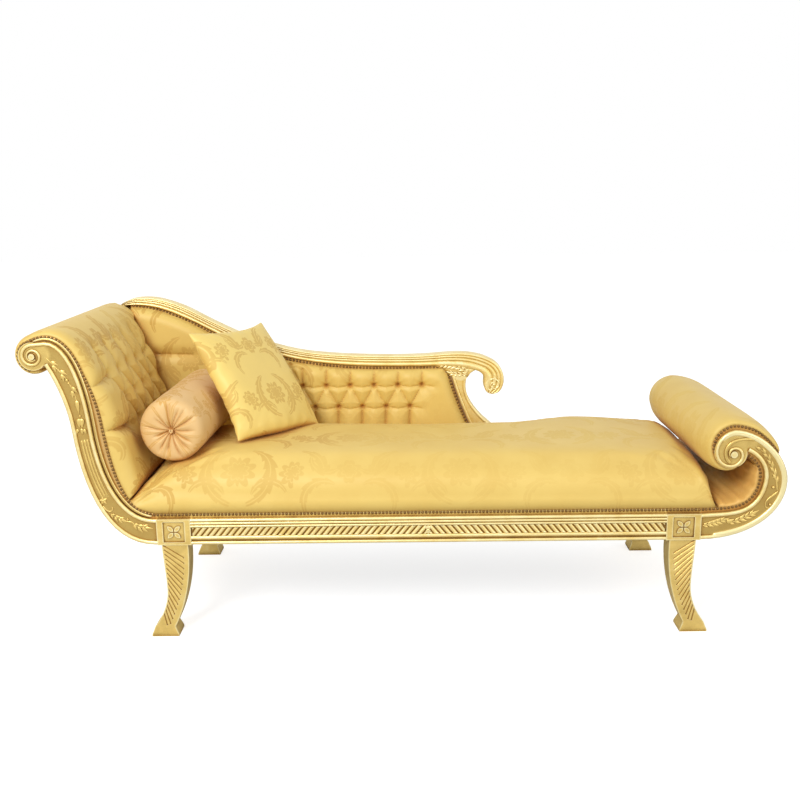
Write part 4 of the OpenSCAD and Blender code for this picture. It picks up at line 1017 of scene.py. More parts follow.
class CHAISE_OT_head_moulding(bpy.types.Operator):
    """Adds the second ridge of the head scroll and the fillet that the nails sit on"""

    bl_idname = "chaise.head_moulding"
    bl_label = "Head moulding"

    def execute(self, context):
        bm = bmesh.new()
        round_bead(bm, shifted(HEAD_LEDGE, 5.2)[1:-1], LEDGE_Y - 0.6, 5, 4.4, 10, 1.15)

        def place(u, v):
            at, side = beside(HEAD_LEDGE[1:], u)
            shift = mix(2, -waist(at[:, 1]), np.interp(v, [0, 0.25, 0.5, 0.75, 1], [0, 0, 1, 1, 0]))
            y = LEDGE_Y - np.where((v > 0.2) & (v < 0.6), 1.0, 0.2)
            return upright(at + side * shift[:, None], y) * MM

        grid(bm, 90, 4, place)
        make_piece(bm, "head_scroll_moulding", "toned_gilding", weld=2e-6)
        return {"FINISHED"}


CREST_FRONT = BACK_Y + 5.8
REAR = -FRONT_Y
REEDS = ((0, 0.42, 5.6), (0.42, 0.66, 4.2), (0.66, 0.84, 3.2), (0.84, 1, 2.4))
CREST_PAIRS = (
    (-902, 845, -903, 839), (-884, 856, -880, 842), (-855, 865, -850, 843), (-806, 866, -799, 836),
    (-765, 858, -766, 827), (-720, 843, -736, 816), (-682, 826, -699, 799), (-645, 805, -662, 782),
    (-607, 785, -624, 761), (-569, 766, -586, 741), (-531, 748, -549, 724), (-493, 733, -508, 707),
    (-436, 714, -449, 687), (-376, 697, -386, 670), (-320, 685, -327, 657), (-250, 677, -254, 646),
    (-160, 671, -161, 638), (-64, 668, -64, 635), (30, 668, 30, 634), (93, 671, 90, 634),
    (140, 675, 128, 634), (185, 676, 165, 632), (216, 673, 196, 628), (248, 666, 212, 623),
    (275, 655, 225, 620), (296, 643, 238, 617), (310, 627, 248, 611), (320, 607, 255, 603),
    (323, 586, 258, 595), (321, 571, 258, 585), (314, 553, 257, 575), (303, 543, 258, 565),
    (289, 539, 262, 553), (276, 540, 268, 545),
)
SPANDREL_PAIRS = (
    (98, 640, 97, 634), (124, 642, 124, 623), (148, 643, 144, 603), (172, 642, 166, 592),
    (194, 638, 188, 586), (213, 634, 205, 594), (229, 632, 214, 611), (244, 628, 234, 621),
)
TIP_FOOT = ((-904, 843), (-886, 850), (-870, 850), (-852, 850), (-836, 850))
HOOK_EYE = point(290, 571)
SPANDREL_SPRAYS = (
    (((206, 606), (190, 622), (160, 634), (112, 637)), 17, 7),
    (((204, 604), (180, 606), (160, 606), (146, 612)), 14, 4),
    (((206, 610), (202, 622), (190, 634), (176, 640)), 12, 3),
)


def reeded(front, rear):
    """Section of the crest: three reeds and a roll up its face, a flat top and a flat back."""
    ring = []
    for low, high, proud in REEDS:
        for share in np.arange(9) / 9:
            ring.append((mix(low, high, share), front - proud * math.sin(math.pi * share) ** 0.7))
    back = [(1, front + 1), (1.02, front + 14), (1.02, rear - 3), (0.99, rear), (0.02, rear), (0, rear - 2)]
    return ring + back + [(0, front)]


def boxed(front, rear, stops):
    """A rectangular section, its face cut at some heights."""
    return [(height, front) for height in stops] + [(1, rear), (0, rear), (0, front)]


class CHAISE_OT_crest(bpy.types.Operator):
    """Makes the reeded crest rail with its hook, and the carved spandrel under it"""

    bl_idname = "chaise.crest"
    bl_label = "Crest rail"

    def execute(self, context):
        bm = bmesh.new()
        loft(bm, CREST_PAIRS, reeded(CREST_FRONT, REAR), 260)
        loft(bm, SPANDREL_PAIRS, boxed(CREST_FRONT, REAR - 1, (0, 0.5, 1)), 24)
        under = [(x, z, x, height_of(HEAD_LEDGE, x)) for x, z in TIP_FOOT]
        loft(bm, under, boxed(BOARD_Y + 13, REAR - 4, (0, 1)), 12)
        curl = on_circle(HOOK_EYE, np.linspace(24, 5, 60), np.linspace(250, -330, 60))
        round_bead(bm, curl, CREST_FRONT - 2, 3.4, 2.4)
        pearl(bm, HOOK_EYE, 5, CREST_FRONT - 2)
        make_piece(bm, "crest_rail_carved", "bright_gilding", ["crest_rail"], 2e-6)
        bm = bmesh.new()
        for line, width, pairs in SPANDREL_SPRAYS:
            spray(bm, wavy(*line), width, pairs, CREST_FRONT - 0.5, 42, 3.4)
        make_piece(bm, "spandrel_leaves", "gilding", ["leaf_bracket"])
        return {"FINISHED"}


# Each pair of leaves on the vine: its share of the vine's length, its side and its size
VINE_LEAVES = ((0.1, 1, 19), (0.16, -1, 18), (0.3, 1, 20), (0.36, -1, 19), (0.62, 1, 20), (0.68, -1, 18))
REEDS_Z = (396, 566)


class CHAISE_OT_carving(bpy.types.Operator):
    """Carves leaves, stems and pearls on the ground of the scrolls and the rail"""

    bl_idname = "chaise.carving"
    bl_label = "Carving"

    def execute(self, context):
        self.head()
        self.foot()
        self.rail()
        return {"FINISHED"}

    def head(self):
        bm = bmesh.new()
        y = FIELD_Y
        vine = drawn(HEAD_C, (36, -4), (60, -30), (80, -54), (94, -80), (104, -108), (108, -142))
        round_bead(bm, vine, y, 2.4, 1.6)
        for u, side, size in VINE_LEAVES:
            twig(bm, vine, u, side, y, ((36, size, size * 0.5, 3.4), (64, size * 0.7, size * 0.36, 2.8)))
        for u, r in ((0.24, 2.6), (0.48, 4.2), (0.54, 2.8)):
            pearl(bm, along(vine, np.array([u]))[0], r, y)
        leaf(bm, HEAD_C + point(105, -116), -84, 34, 12, y, 4)
        heart = HEAD_C + point(110, -168)
        for side in (-1, 1):
            leaf(bm, heart + point(4.5 * side, 3), -90 - side * 8, 24, 14, y, 4.2, side * 0.12)
            leaf(bm, heart + point(7 * side, -26), -118 + 28 * (side + 1), 15, 9, y, 3.6)
        leaf(bm, heart + point(2, -24), -88, 17, 8, y, 3.8)
        pearl(bm, heart + point(1, 9), 3, y)
        low, high = (np.argmax(HEAD_FIELD[:, 1] > z) for z in REEDS_Z)
        for offset in (-8, 0, 8):
            round_bead(bm, shifted(HEAD_FIELD, offset)[low:high], y + 0.8, 3.4, 3.4)
        rosette = HEAD_C + point(152, -392)
        pearl(bm, rosette, 4, y)
        for number in range(5):
            leaf(bm, rosette, 100 + 72 * number, 12, 8, y, 3)
        first = drawn(HEAD_C, (150, -406), (157, -418), (168, -424), (177, -418), (174, -409))
        second = drawn(HEAD_C, (196, -440), (210, -452), (226, -452), (232, -464))
        for curl in (first, second):
            round_bead(bm, curl, y, 2.6, 2)
        spray(bm, drawn(HEAD_C, (168, -428), (182, -440), (200, -447)), 15, 3, y)
        pearl(bm, HEAD_C + point(214, -445), 3.4, y)
        spray(bm, drawn(HEAD_C, (226, -458), (242, -468), (262, -470)), 18, 3, y)
        make_piece(bm, "head_scroll_carving", "carved_gilding")

    def foot(self):
        bm = bmesh.new()
        y = FIELD_Y
        low_stem = (121, -103), (120, -90), (118, -77), (114, -62)
        stem = drawn(FOOT_EYE, *low_stem, (109, -49), (97, -21), (87, -3), (70, 12))
        round_bead(bm, stem, y, 2.8, 1.8)
        for number in range(9):
            side = 1 if number % 2 else -1
            twig(bm, stem, 0.2 + 0.085 * number, side, y, ((32, 15, 7.5, 3.2), (62, 9, 5, 2.6)))
        leaf(bm, stem[-1], 150, 17, 8, y)
        pearl(bm, FOOT_EYE + point(110, -92), 4.4, y)
        low_curl = (124, -102), (114, -113), (101, -122), (92, -134)
        round_bead(bm, drawn(FOOT_EYE, *low_curl, (93, -147), (103, -152), (111, -146)), y, 3.2, 2.2)
        pearl(bm, FOOT_EYE + point(105, -140), 4.6, y)
        spray(bm, drawn(FOOT_EYE, (-72, -198), (-42, -192), (-12, -181)), 17, 5, y)
        spray(bm, drawn(FOOT_EYE, (-4, -192), (30, -182), (66, -162)), 17, 5, y)
        leaf(bm, FOOT_EYE + point(-8, -188), 20, 20, 13, y, 4.5)
        ridge = (85, 18), (74, 33), (40, 42), (9, 40), (-14, 28), (-23, 7), (-18, -14), (-6, -25)
        round_bead(bm, drawn(FOOT_EYE, *ridge), y, 3, 5.5)
        make_piece(bm, "foot_scroll_carving", "carved_gilding")
        bm = bmesh.new()
        round_bead(bm, shifted(FOOT_OUTER, 10)[3 : TOPPED + 8], y + 1, 8.4, 6, 12, 0.82)
        make_piece(bm, "foot_scroll_rim", "gilding", weld=2e-6)

    def rail(self):
        bm = bmesh.new()
        middle = point((HEAD_IN + FOOT_IN) / 2, (RAIL_Z + FACE_TOP) / 2)
        for heading, length in ((90, 15), (-90, 15), (62, 13), (118, 13), (-62, 13), (-118, 13)):
            leaf(bm, middle, heading, length, 8, FRONT_Y + 4, 3)
        pearl(bm, middle, 3.4, FRONT_Y + 2)
        make_piece(bm, "rail_leaf", "gilding")


# Upholstery

SEAT_X0 = HEAD_X - 75
SEAT_X1 = FOOT_X + 42
SEAT_RISE = (140, 120)
SEAT_HEAD_ROUND = 125
SEAT_FOOT_ROUND = 42
SEAT_CAP = 0.012
WIDEN = (POST_X + 150, POST_X + 350)
SPLAY = 38
SPLAY_X = 400
BOLSTER_X = HEAD_X + 54
BOLSTER_R = 90
BOLSTER_LEN = 400
BOLSTER_Y0 = WALL_Y - 80 - BOLSTER_LEN


def ground(x):
    """Height of what the seat lies on."""
    at_foot = np.interp(x, FOOT_LEDGE[:30, 0], FOOT_LEDGE[:30, 1])
    return np.where(x < HEAD_X, height_of(HEAD_LEDGE, x), np.where(x > FOOT_X, at_foot, RAIL_TOP))


def seat_rear(x):
    return mix(WALL_Y, -LEDGE_Y, smooth((x - WIDEN[0]) / (WIDEN[1] - WIDEN[0])))


def splay(x, y):
    """How far the foot end of the seat runs out further towards the back, under the roll."""
    return SPLAY * clamp((y - LEDGE_Y) / (-2 * LEDGE_Y)) * smooth((x - SPLAY_X) / (SEAT_X1 - SPLAY_X))


def seat_rise(x, y):
    """How high the seat stands: crowned, lower at the back, rounded at both ends, dented by the bolster."""
    u = (x - SEAT_X0) / (SEAT_X1 - SEAT_X0)
    v = clamp((y - LEDGE_Y) / (seat_rear(x) - LEDGE_Y))
    end = clamp((x - SEAT_X0) / SEAT_HEAD_ROUND) ** 0.42
    end = end * dome(SEAT_X1 + splay(SEAT_X1, y) - x, SEAT_FOOT_ROUND)
    fall = mix(0.1, 0.02, clamp((x - POST_X + 100) / 250)) + 0.13 * smooth((x - 520) / 300)
    across = (1 - fall * v) * np.maximum(1 - np.abs(2 * v - 1) ** 4, 0) ** 0.25
    dent = 1 - 0.07 * bell((x - BOLSTER_X) / BOLSTER_R * 1.5) * dome(y - BOLSTER_Y0 + 30, 60)
    return mix(*SEAT_RISE, u) * end * across * dent


def seat_top(x, y):
    return np.maximum(RAIL_TOP + GAP + 4 + seat_rise(x, y), ground(x) + GAP + 4)


class CHAISE_OT_seat(bpy.types.Operator):
    """Makes the seat cushion, nailed down along the front ledge"""

    bl_idname = "chaise.seat"
    bl_label = "Seat cushion"

    def execute(self, context):
        def shape(u, v):
            x = mix(SEAT_X0, SEAT_X1, eased(u) * 0.35 + u * 0.65)
            y = mix(LEDGE_Y, seat_rear(x), eased(v))
            x = x + splay(x, y)
            shares = np.linspace(0, 1, 120)
            rear = mix(LEDGE_Y, WALL_Y, eased(shares))
            s = lengths(np.stack([rear, seat_top(np.zeros(120), rear)], -1))
            cloth = np.stack([x, np.interp(v, shares, s)], -1) * MM
            return np.stack([x, y, seat_top(x, y)], -1), np.stack([x, y, ground(x) + GAP], -1), cloth

        piece = pad("seat_cushion_cover", 190, 84, shape, sizes().air * 0.5, SEAT_CAP)
        dress(piece, "damask", ["seat_cushion"])
        return {"FINISHED"}


# Reach of a pleat's sharp crease and of the hollow beside it, and of a tuft's pit and its hollow
PLEAT_CREASE = 3.2
PLEAT_HOLLOW = 19
TUFT_PIT = 7.5
TUFT_HOLLOW = 30


def buttoned(flat, puff, tufts, pleats):
    """A pad's thickness, puff, with tufts and pleats pressed in; a pleat has its ends and depths."""
    sunk = np.zeros(len(flat))
    for start, end, first, last in pleats:
        start = np.array(start, float)
        way = np.array(end, float) - start
        t = clamp((flat - start) @ way / (way @ way))
        off = np.linalg.norm(flat - start - t[:, None] * way, axis=1)
        pressed = 0.45 * np.exp(-off / PLEAT_CREASE) + 0.55 * bell(off / PLEAT_HOLLOW)
        sunk = np.maximum(sunk, mix(first, last, t) * pressed)
    for place in tufts:
        off = np.linalg.norm(flat - place, axis=1)
        pressed = 0.3 * bell(off / TUFT_HOLLOW) + 0.58 * np.exp(-((off / TUFT_PIT) ** 1.3))
        sunk = np.maximum(sunk, pressed)
    return puff * (1 - sunk)


def lattice(rows, heights):
    """Tufts from the places along each row, and the slanting pleats between neighbouring rows."""
    tufts = [(x, z) for row, z in zip(rows, heights) for x in row]
    pleats = []
    for low, high, low_z, high_z in zip(rows, rows[1:], heights, heights[1:]):
        reach = min(1.5 * abs(high_z - low_z), 66)
        pleats += [((a, low_z), (b, high_z), 0.36, 0.36) for a in low for b in high if abs(a - b) < reach]
    return tufts, pleats


CREASE = 82
HEAD_STEP = 17
HEAD_S = lengths(HEAD_UP)
HEAD_STEPS = int((HEAD_S[-1] - CREASE) / HEAD_STEP)
HEAD_PAD = (15, 60)
HEAD_ROUND = 46
HEAD_LOW_ROUND = 40
HEAD_ROWS = (
    (-178, -91, -6, 80, 165),
    (-136, -48, 38, 124, 204),
    (-200, -108, -22, 64, 148),
)
HEAD_HEIGHTS = [k * HEAD_STEP for k in (11, 15.3, 19.6)]
HEAD_TUFTS, HEAD_PLEATS = lattice(HEAD_ROWS, HEAD_HEIGHTS)
HEAD_PLEATS += [((y, HEAD_HEIGHTS[2]), (y - 8, 24.2 * HEAD_STEP), 0.34, 0.5) for y in HEAD_ROWS[2]]
HEAD_PLEATS += [((y, HEAD_HEIGHTS[0]), (y, 5 * HEAD_STEP), 0.36, 0.12) for y in HEAD_ROWS[0][1:]]
HEAD_PLEATS += [
    ((-200, HEAD_HEIGHTS[2]), (LEDGE_Y, 19.1 * HEAD_STEP), 0.6, 0.42),
    ((-178, HEAD_HEIGHTS[0]), (LEDGE_Y, 12.1 * HEAD_STEP), 0.6, 0.42),
    ((148, HEAD_HEIGHTS[2]), (250, 21.5 * HEAD_STEP), 0.34, 0.5),
]


def head_line(s):
    """Place and outward direction at a distance up the head end."""
    out = rows_at(s, HEAD_S, -lefts(HEAD_UP))
    return rows_at(s, HEAD_S, HEAD_UP), out / np.linalg.norm(out, axis=-1)[..., None]


def head_rear(x):
    """How far back the head padding reaches: under the crest's tip, then to the back padding."""
    board_x = bend(*CREST_START, 12)[3][0] - 8
    steps = [TIP_X - 20, TIP_X - 8, board_x - 16, board_x - 4]
    return np.interp(x, steps, [-LEDGE_Y, BOARD_Y + 2, BOARD_Y + 2, WALL_Y])


def head_thick(k, y, rear):
    """Thickness of the head padding; k counts steps up from the crease."""
    full = mix(*HEAD_PAD, bell((k - 8) / 13))
    puff = full * dome(np.minimum(y - LEDGE_Y, rear - y), HEAD_ROUND)
    puff = puff * dome(k * HEAD_STEP + 1, HEAD_LOW_ROUND)
    puff = puff * dome((HEAD_STEPS - k) * HEAD_STEP + 1, HEAD_ROUND)
    return buttoned(np.stack([y, k * HEAD_STEP], -1), puff, HEAD_TUFTS, HEAD_PLEATS)


class CHAISE_OT_head_padding(bpy.types.Operator):
    """Makes the buttoned padding that runs up the head end and over its roll"""

    bl_idname = "chaise.head_padding"
    bl_label = "Head padding"

    def execute(self, context):
        def shape(u, v):
            s = CREASE + u * HEAD_STEPS * HEAD_STEP
            at, out = head_line(s)
            rear = head_rear(at[:, 0])
            y = mix(LEDGE_Y, rear, v)
            thick = np.maximum(head_thick((s - CREASE) / HEAD_STEP, y, rear), THINNEST)
            face = upright(at + out * (GAP + thick)[:, None], y)
            return face, upright(at + out * GAP, y), np.stack([y * 1.1, s * 1.05], -1) * MM

        piece = pad("head_padding", 230, 180, shape)
        dress(piece, "damask", ["head_pad"])
        bm = bmesh.new()
        for y, height in HEAD_TUFTS:
            at, out = head_line(np.array([CREASE + height]))
            thick = head_thick(np.array([height / HEAD_STEP]), np.array([y]), head_rear(at[:, 0]))
            button(bm, upright(at + out * (thick + 2)[:, None], y)[0], upright(out, 0)[0])
        make_piece(bm, "head_tufting_buttons", "damask", ["head_buttons"])
        return {"FINISHED"}


# Rows of tufts in the back, from the lowest row up
BASE_Z = RAIL_TOP + 60
ROW_Z = LOW_Z - 58
COL_X = POST_X - 95
PITCH = 77
ROW = 71
BACK_ROWS = (
    [COL_X - PITCH * (k + 0.5) for k in range(7)],
    [COL_X - PITCH * k for k in range(7)],
    [COL_X - PITCH * (k - 0.5) for k in (6, 7)],
)
BACK_TUFTS, BACK_PLEATS = lattice(BACK_ROWS, (ROW_Z - ROW, ROW_Z, ROW_Z + ROW))
BACK_PLEATS += [((x, ROW_Z - ROW), (x - 3, ROW_Z - ROW - 84), 0.58, 0.55) for x in BACK_ROWS[0]]
BACK_PLEATS += [((x, ROW_Z), (x + 2, ROW_Z + 56), 0.56, 0.5) for x in BACK_ROWS[1][:6]]
BACK_PLEATS += [((x, z), (x + reach, z - 5), 0.56, 0.16) for x, z in BACK_TUFTS for reach in (38, -38)]
BACK_PLEATS.append(((-796, 687), (-676, 685), 0.52, 0.3))
BACK_EDGE = 4
BACK_FULL = 39


def post_edge(z):
    return height_of(POST_LEFT[:, ::-1], z) - 4


def back_sides():
    """The four edges of the back padding, each cut into even steps."""
    knee = RAIL_TOP + 250
    start = np.argmax(CREST_LOW[:, 0] > TIP_X + 26)
    under = CREST_LOW[start:][CREST_LOW[start:, 0] < BRACKET[0] - 50] - point(0, 0.6)
    top = chain(under, BRACKET + point(-42, 5.5))
    z = np.linspace(BASE_Z, BRACKET[1] - 46, 24)
    round_bracket = [BRACKET + point(*p) for p in ((9, -30), (2, -14), (-12, -2), (-26, 3.5), (-42, 5.5))]
    right = chain(np.stack([post_edge(z), z], -1), *round_bracket)
    z = np.linspace(BASE_Z, top[0][1], 40)
    low_part = np.interp(z, HEAD_LEDGE[:, 1], HEAD_LEDGE[:, 0]) + 4
    at_knee = np.interp(knee, HEAD_LEDGE[:, 1], HEAD_LEDGE[:, 0]) + 4
    high_part = mix(at_knee, top[0][0], (z - knee) / (top[0][1] - knee))
    left = np.stack([np.where(z < knee, low_part, high_part), z], -1)
    return top, right, left, np.stack([left[0], right[0]])


BACK_TOP, BACK_RIGHT, BACK_LEFT, BACK_BASE = back_sides()


def back_patch(u, v):
    """A point of the back padding from its four edges."""
    top, base = along(BACK_TOP, u), along(BACK_BASE, u)
    left, right = along(BACK_LEFT, v), along(BACK_RIGHT, v)
    u, v = u[:, None], v[:, None]
    plane = mix(mix(BACK_BASE[0], BACK_BASE[-1], u), mix(BACK_TOP[0], BACK_TOP[-1], u), v)
    return mix(base, top, v) + mix(left, right, u) - plane


def back_thick(x, z):
    crest = np.interp(x, CREST_LOW[:, 0], CREST_LOW[:, 1])
    left = np.interp(z, BACK_LEFT[:, 1], BACK_LEFT[:, 0])
    flat = 9
    rise = dome(crest - z - flat, 38) * dome(post_edge(z) - x - flat, 38) * dome(x - left + 1, 30)
    rise = np.where(z < BASE_Z + 20, np.minimum(rise, dome(z - BASE_Z + 8, 28)), rise)
    bracket = np.hypot(x - BRACKET[0] - 26, z - BRACKET[1] - 12)
    puff = BACK_EDGE + BACK_FULL * rise * dome(bracket - 40, 36)
    return buttoned(np.stack([x, z], -1), puff, BACK_TUFTS, BACK_PLEATS)


class CHAISE_OT_back_padding(bpy.types.Operator):
    """Makes the buttoned padding of the back"""

    bl_idname = "chaise.back_padding"
    bl_label = "Back padding"

    def execute(self, context):
        def shape(u, v):
            at = back_patch(u, v)
            thick = np.maximum(back_thick(at[:, 0], at[:, 1]), THINNEST)
            return upright(at, BOARD_Y - GAP - thick), upright(at, BOARD_Y - GAP), at * 1.1 * MM

        piece = pad("back_padding", 340, 120, shape)
        dress(piece, "damask", ["back_pad"])
        bm = bmesh.new()
        for x, z in BACK_TUFTS:
            thick = back_thick(np.array([x]), np.array([z]))[0]
            button(bm, (x, BOARD_Y - GAP - thick - 2, z), (0, -1, 0))
        make_piece(bm, "back_tufting_buttons", "damask", ["back_buttons"])
        return {"FINISHED"}


def slack(s, y):
    """Slack folds that run from front to back and fade from the nails inwards."""
    near = np.exp((LEDGE_Y - y) / 170) * 0.8 + 0.35
    wave = np.sin(s / 7.3 + np.sin(y / 90) * 0.8) * 0.6 + np.sin(s / 3.9 + y / 140 + 1) * 0.4
    return near * wave


class CHAISE_OT_foot_padding(bpy.types.Operator):
    """Makes the padding over the foot roll and in the hollow under it"""

    bl_idname = "chaise.foot_padding"
    bl_label = "Foot padding"

    def execute(self, context):
        over = FOOT_BODY[RISEN + 12 : TOPPED + 42][::-1]
        self.roll("foot_roll_padding", "foot_roll_pad", over, 21, 130, 0.35, "damask")
        hollow = FOOT_LEDGE[(FOOT_LEDGE[:, 0] > SEAT_X1 + 3) & (FOOT_LEDGE[:, 1] < FOOT_EYE[1] - 34)]
        # The hollow's cloth gets the warmer ground that paints its bounced light
        self.roll("foot_hollow_padding", "foot_inner_pad", hollow, 11, 60, 3.2, "warm_damask")
        return {"FINISHED"}

    def roll(self, name, node, line, full, reach, folds, finish):
        total = lengths(line)[-1]

        def shape(u, v):
            at, way = beside(line, u)
            way /= np.linalg.norm(way, axis=1)[:, None]
            y = mix(LEDGE_Y, -LEDGE_Y, v)
            edge = -LEDGE_Y - np.abs(y)
            thick = full * dome(edge, reach) * dome(np.minimum(u, 1 - u) * total, 40) + THINNEST
            thick = thick + folds * slack(u * total, y) * dome(edge, 30)
            cloth = np.stack([mix(0, 0.63, v), u * total * MM], -1)
            return upright(at + way * (GAP + thick)[:, None], y), upright(at + way * GAP, y), cloth

        piece = pad(name, 60, 90, shape)
        dress(piece, finish, [node])


COVER_T = 0.0014


class CHAISE_OT_covers(bpy.types.Operator):
    """Stretches the outer covers over the head end, the foot end and the back"""

    bl_idname = "chaise.covers"
    bl_label = "Outer covers"

    def execute(self, context):
        outside = shifted(HEAD_OUTER, -3.2)
        self.strip("head_outside_cover", "head_outer_cover", outside[outside[:, 1] < HEAD_C[1] - 14])
        self.strip("foot_outside_cover", "foot_outer_cover", shifted(FOOT_OUTER[: RISEN + 10], 3.2))
        y = corners("back_outer_cover")[1][1] - 0.4
        back = (90, 30, lambda u, v: upright(back_patch(u, v), y) * MM)
        piece = self.cover("back_outside_cover", "back_outer_cover", back, lambda co: co[:, [0, 2]])
        width, _, height = (float(span) for span in np.ptp(coordinates(piece.data), axis=0))
        return {"FINISHED"}

    def cover(self, name, node, cells, flat):
        """A thin cover from the cells of its grid, and from where its points lie on the flat cloth."""
        bm = bmesh.new()
        grid(bm, *cells)
        piece = finish_mesh(bm, name)
        cloth_map(piece.data, flat(coordinates(piece.data)))
        piece.modifiers.new("Cloth thickness", "SOLIDIFY").thickness = COVER_T
        return dress(piece, "damask", [node])

    def strip(self, name, node, line):
        low, high = corners(node)
        total = lengths(line)[-1]
        cells = (48, 24, lambda u, v: upright(along(line, u), mix(low[1], high[1], v)) * MM)
        piece = self.cover(name, node, cells, lambda co: np.stack([co[:, 1], co[:, 2] * 1.1], -1))


BOLSTER_SHIFT = (-6, 0, -4)
BOLSTER_TURN = ((-5, "Z"), (2.5, "X"))
KNOT_R = 0.0034


class CHAISE_OT_bolster(bpy.types.Operator):
    """Makes the round bolster with gathered ends"""

    bl_idname = "chaise.bolster"
    bl_label = "Bolster"

    def execute(self, context):
        low, high = corners("bolster")
        centre = (low + high) / 2 + np.array(BOLSTER_SHIFT)
        radius = BOLSTER_R + 1
        half = BOLSTER_LEN / 2 - 1
        end = bend(point(0, 15), point(0.1 * radius, 14), point(0.2 * radius, 0), point(0.5 * radius, 0), 22)
        end = chain(end, bend(end[-1], point(0.88 * radius, 0), point(radius, 8), point(radius, 42), 26))
        profile = chain(end, np.stack([np.full(14, radius), np.linspace(46, half, 14)], -1))
        gathers = self.gathers(sizes().pleats)
        yaw, tilt = (Matrix.Rotation(math.radians(a), 3, axis) for a, axis in BOLSTER_TURN)
        turn = np.array(yaw @ tilt)

        def place(u, v):
            r, inward = along(profile, 1 - np.abs(2 * u - 1)).T
            side = np.where(u < 0.5, -1, 1)
            angle = 2 * np.pi * v
            rel = r / radius
            fold = gathers(angle, rel) * smooth((60 - inward) / 50)
            sag = 1.2 * np.sin(3 * angle + inward / 40) * smooth(rel * 1.4 - 0.4)
            r = r - fold * 0.35 * rel - np.abs(sag) * 0.6
            local = np.stack([r * np.cos(angle), side * (half - inward - fold), r * np.sin(angle)], -1)
            return (centre + local @ turn.T) * MM

        bm = bmesh.new()
        grid(bm, 150, 320, place)
        piece = finish_mesh(bm, "bolster_cover", weld=2e-6)
        local = (coordinates(piece.data) / MM - centre) @ turn
        angle = np.arctan2(local[:, 2], local[:, 0])
        cloth_map(piece.data, np.stack([local[:, 1] + 95, angle * radius], -1) * MM)
        dress(piece, "satin", ["bolster"])
        bm = bmesh.new()
        for side in (-1, 1):
            for number in range(9):
                away = 4.4 * (number % 3) / 2
                a = number * 2.4
                knot = np.array([away * math.cos(a), side * (half - 11.5), away * math.sin(a)])
                ball(bm, centre + turn @ knot, KNOT_R)
        make_piece(bm, "bolster_knots", "satin")
        return {"FINISHED"}

    def gathers(self, count):
        """Sharp gathers of uneven width and length round the end."""
        rng = np.random.default_rng(7)
        at = (np.arange(count) + rng.uniform(-0.28, 0.28, count)) * 2 * np.pi / count
        reach = rng.uniform(0.55, 0.98, count)
        deep = rng.uniform(7, 12, count)
        wide = rng.uniform(0.06, 0.12, count)
        swing = rng.uniform(-0.12, 0.12, count)

        def fold(angle, rel):
            total = np.zeros_like(angle)
            for k in range(count):
                off = (angle - at[k] - swing[k] * rel + np.pi) % (2 * np.pi) - np.pi
                groove = np.exp(-np.abs(off) * np.maximum(rel, 0.12) / (wide[k] * 0.62))
                fade = smooth((reach[k] - rel) / 0.3 + 0.2) * smooth(rel / 0.1)
                total = np.maximum(total, groove * fade * deep[k])
            return total

        return fold


CUSHION_HALF = 186
CUSHION_FULL = 54
CUSHION_CAP = 0.024
CUSHION_AT = (HEAD_X + 228, WALL_Y - 188)
# The cushion's yaw, lean and roll in degrees, and how far its sides pull in between the corners
CUSHION_TURN = (66.5, 35.4, -5.5)
CUSHION_PULL = 0.055


class CHAISE_OT_cushion(bpy.types.Operator):
    """Makes the loose square cushion and leaves it leaning on the seat"""

    bl_idname = "chaise.cushion"
    bl_label = "Square cushion"

    def execute(self, context):
        low, high = corners("square_cushion")
        yaw, lean, roll = (math.radians(a) for a in CUSHION_TURN)
        level = np.array([math.cos(yaw), math.sin(yaw), 0])
        up = np.array([-math.sin(yaw) * math.sin(lean), math.cos(yaw) * math.sin(lean), math.cos(lean)])
        out = np.cross(level, up)
        across = level * math.cos(roll) + up * math.sin(roll)
        upward = up * math.cos(roll) - level * math.sin(roll)

        def shape(u, v, side):
            u = 2 * u - 1
            v = 2 * v - 1
            x = CUSHION_HALF * u * (1 - CUSHION_PULL * (1 - np.abs(v) ** 2.6))
            y = CUSHION_HALF * v * (1 - CUSHION_PULL * (1 - np.abs(u) ** 2.6))
            puff = ((1 - u**4) * (1 - v**4)) ** 0.5 * (1 - 0.45 * np.abs(u * v) ** 1.5) * CUSHION_FULL * 0.8
            inward = 1 - np.maximum(np.abs(u), np.abs(v))
            pucker = np.sin(26 * u * np.abs(v) + 2) + np.sin(23 * v * np.abs(u) + 1)
            puff = puff + np.exp(-inward / 0.12) * inward * pucker * (14 + 46 * np.abs(u * v) ** 2)
            return np.stack([x, y, side * puff], -1) * MM

        bm = bmesh.new()
        for side in (1, -1):
            grid(bm, 64, 64, lambda u, v: shape(u, v, side))
        piece = finish_mesh(bm, "square_cushion_cover", weld=1e-5)
        flat = coordinates(piece.data)
        share = flat / (CUSHION_HALF * MM)
        ear = np.abs(share[:, 0] * share[:, 1])
        inflate(piece, smooth((ear - 0.8) / 0.2), sizes().air, CUSHION_CAP)
        co = coordinates(piece.data)
        limit = (CUSHION_FULL - 1.5) * MM
        co[:, 2] = np.tanh(co[:, 2] / limit) * limit * 1.04
        cloth_map(piece.data, flat[:, :2] + np.array([0.12, 0.15]))
        for sign, pull in ((-1, (0.006, 0.03, -0.036)), (1, (0, 0.016, 0))):
            near = (clamp(sign * share[:, 0]) * clamp(sign * share[:, 1])) ** 1.5
            co = co + near[:, None] * np.array(pull)
        co = co[:, :1] * across + co[:, 1:2] * upward + co[:, 2:] * out
        shift = np.array([*CUSHION_AT, 0]) * MM
        shift[2] = low[2] * MM + 0.001 - co[:, 2].min()
        set_coordinates(piece.data, co + shift)
        fine = piece.modifiers.new("Fine", "SUBSURF")
        fine.levels = 1
        fine.render_levels = 1
        dress(piece, "cushion_damask", ["square_cushion"])
        return {"FINISHED"}


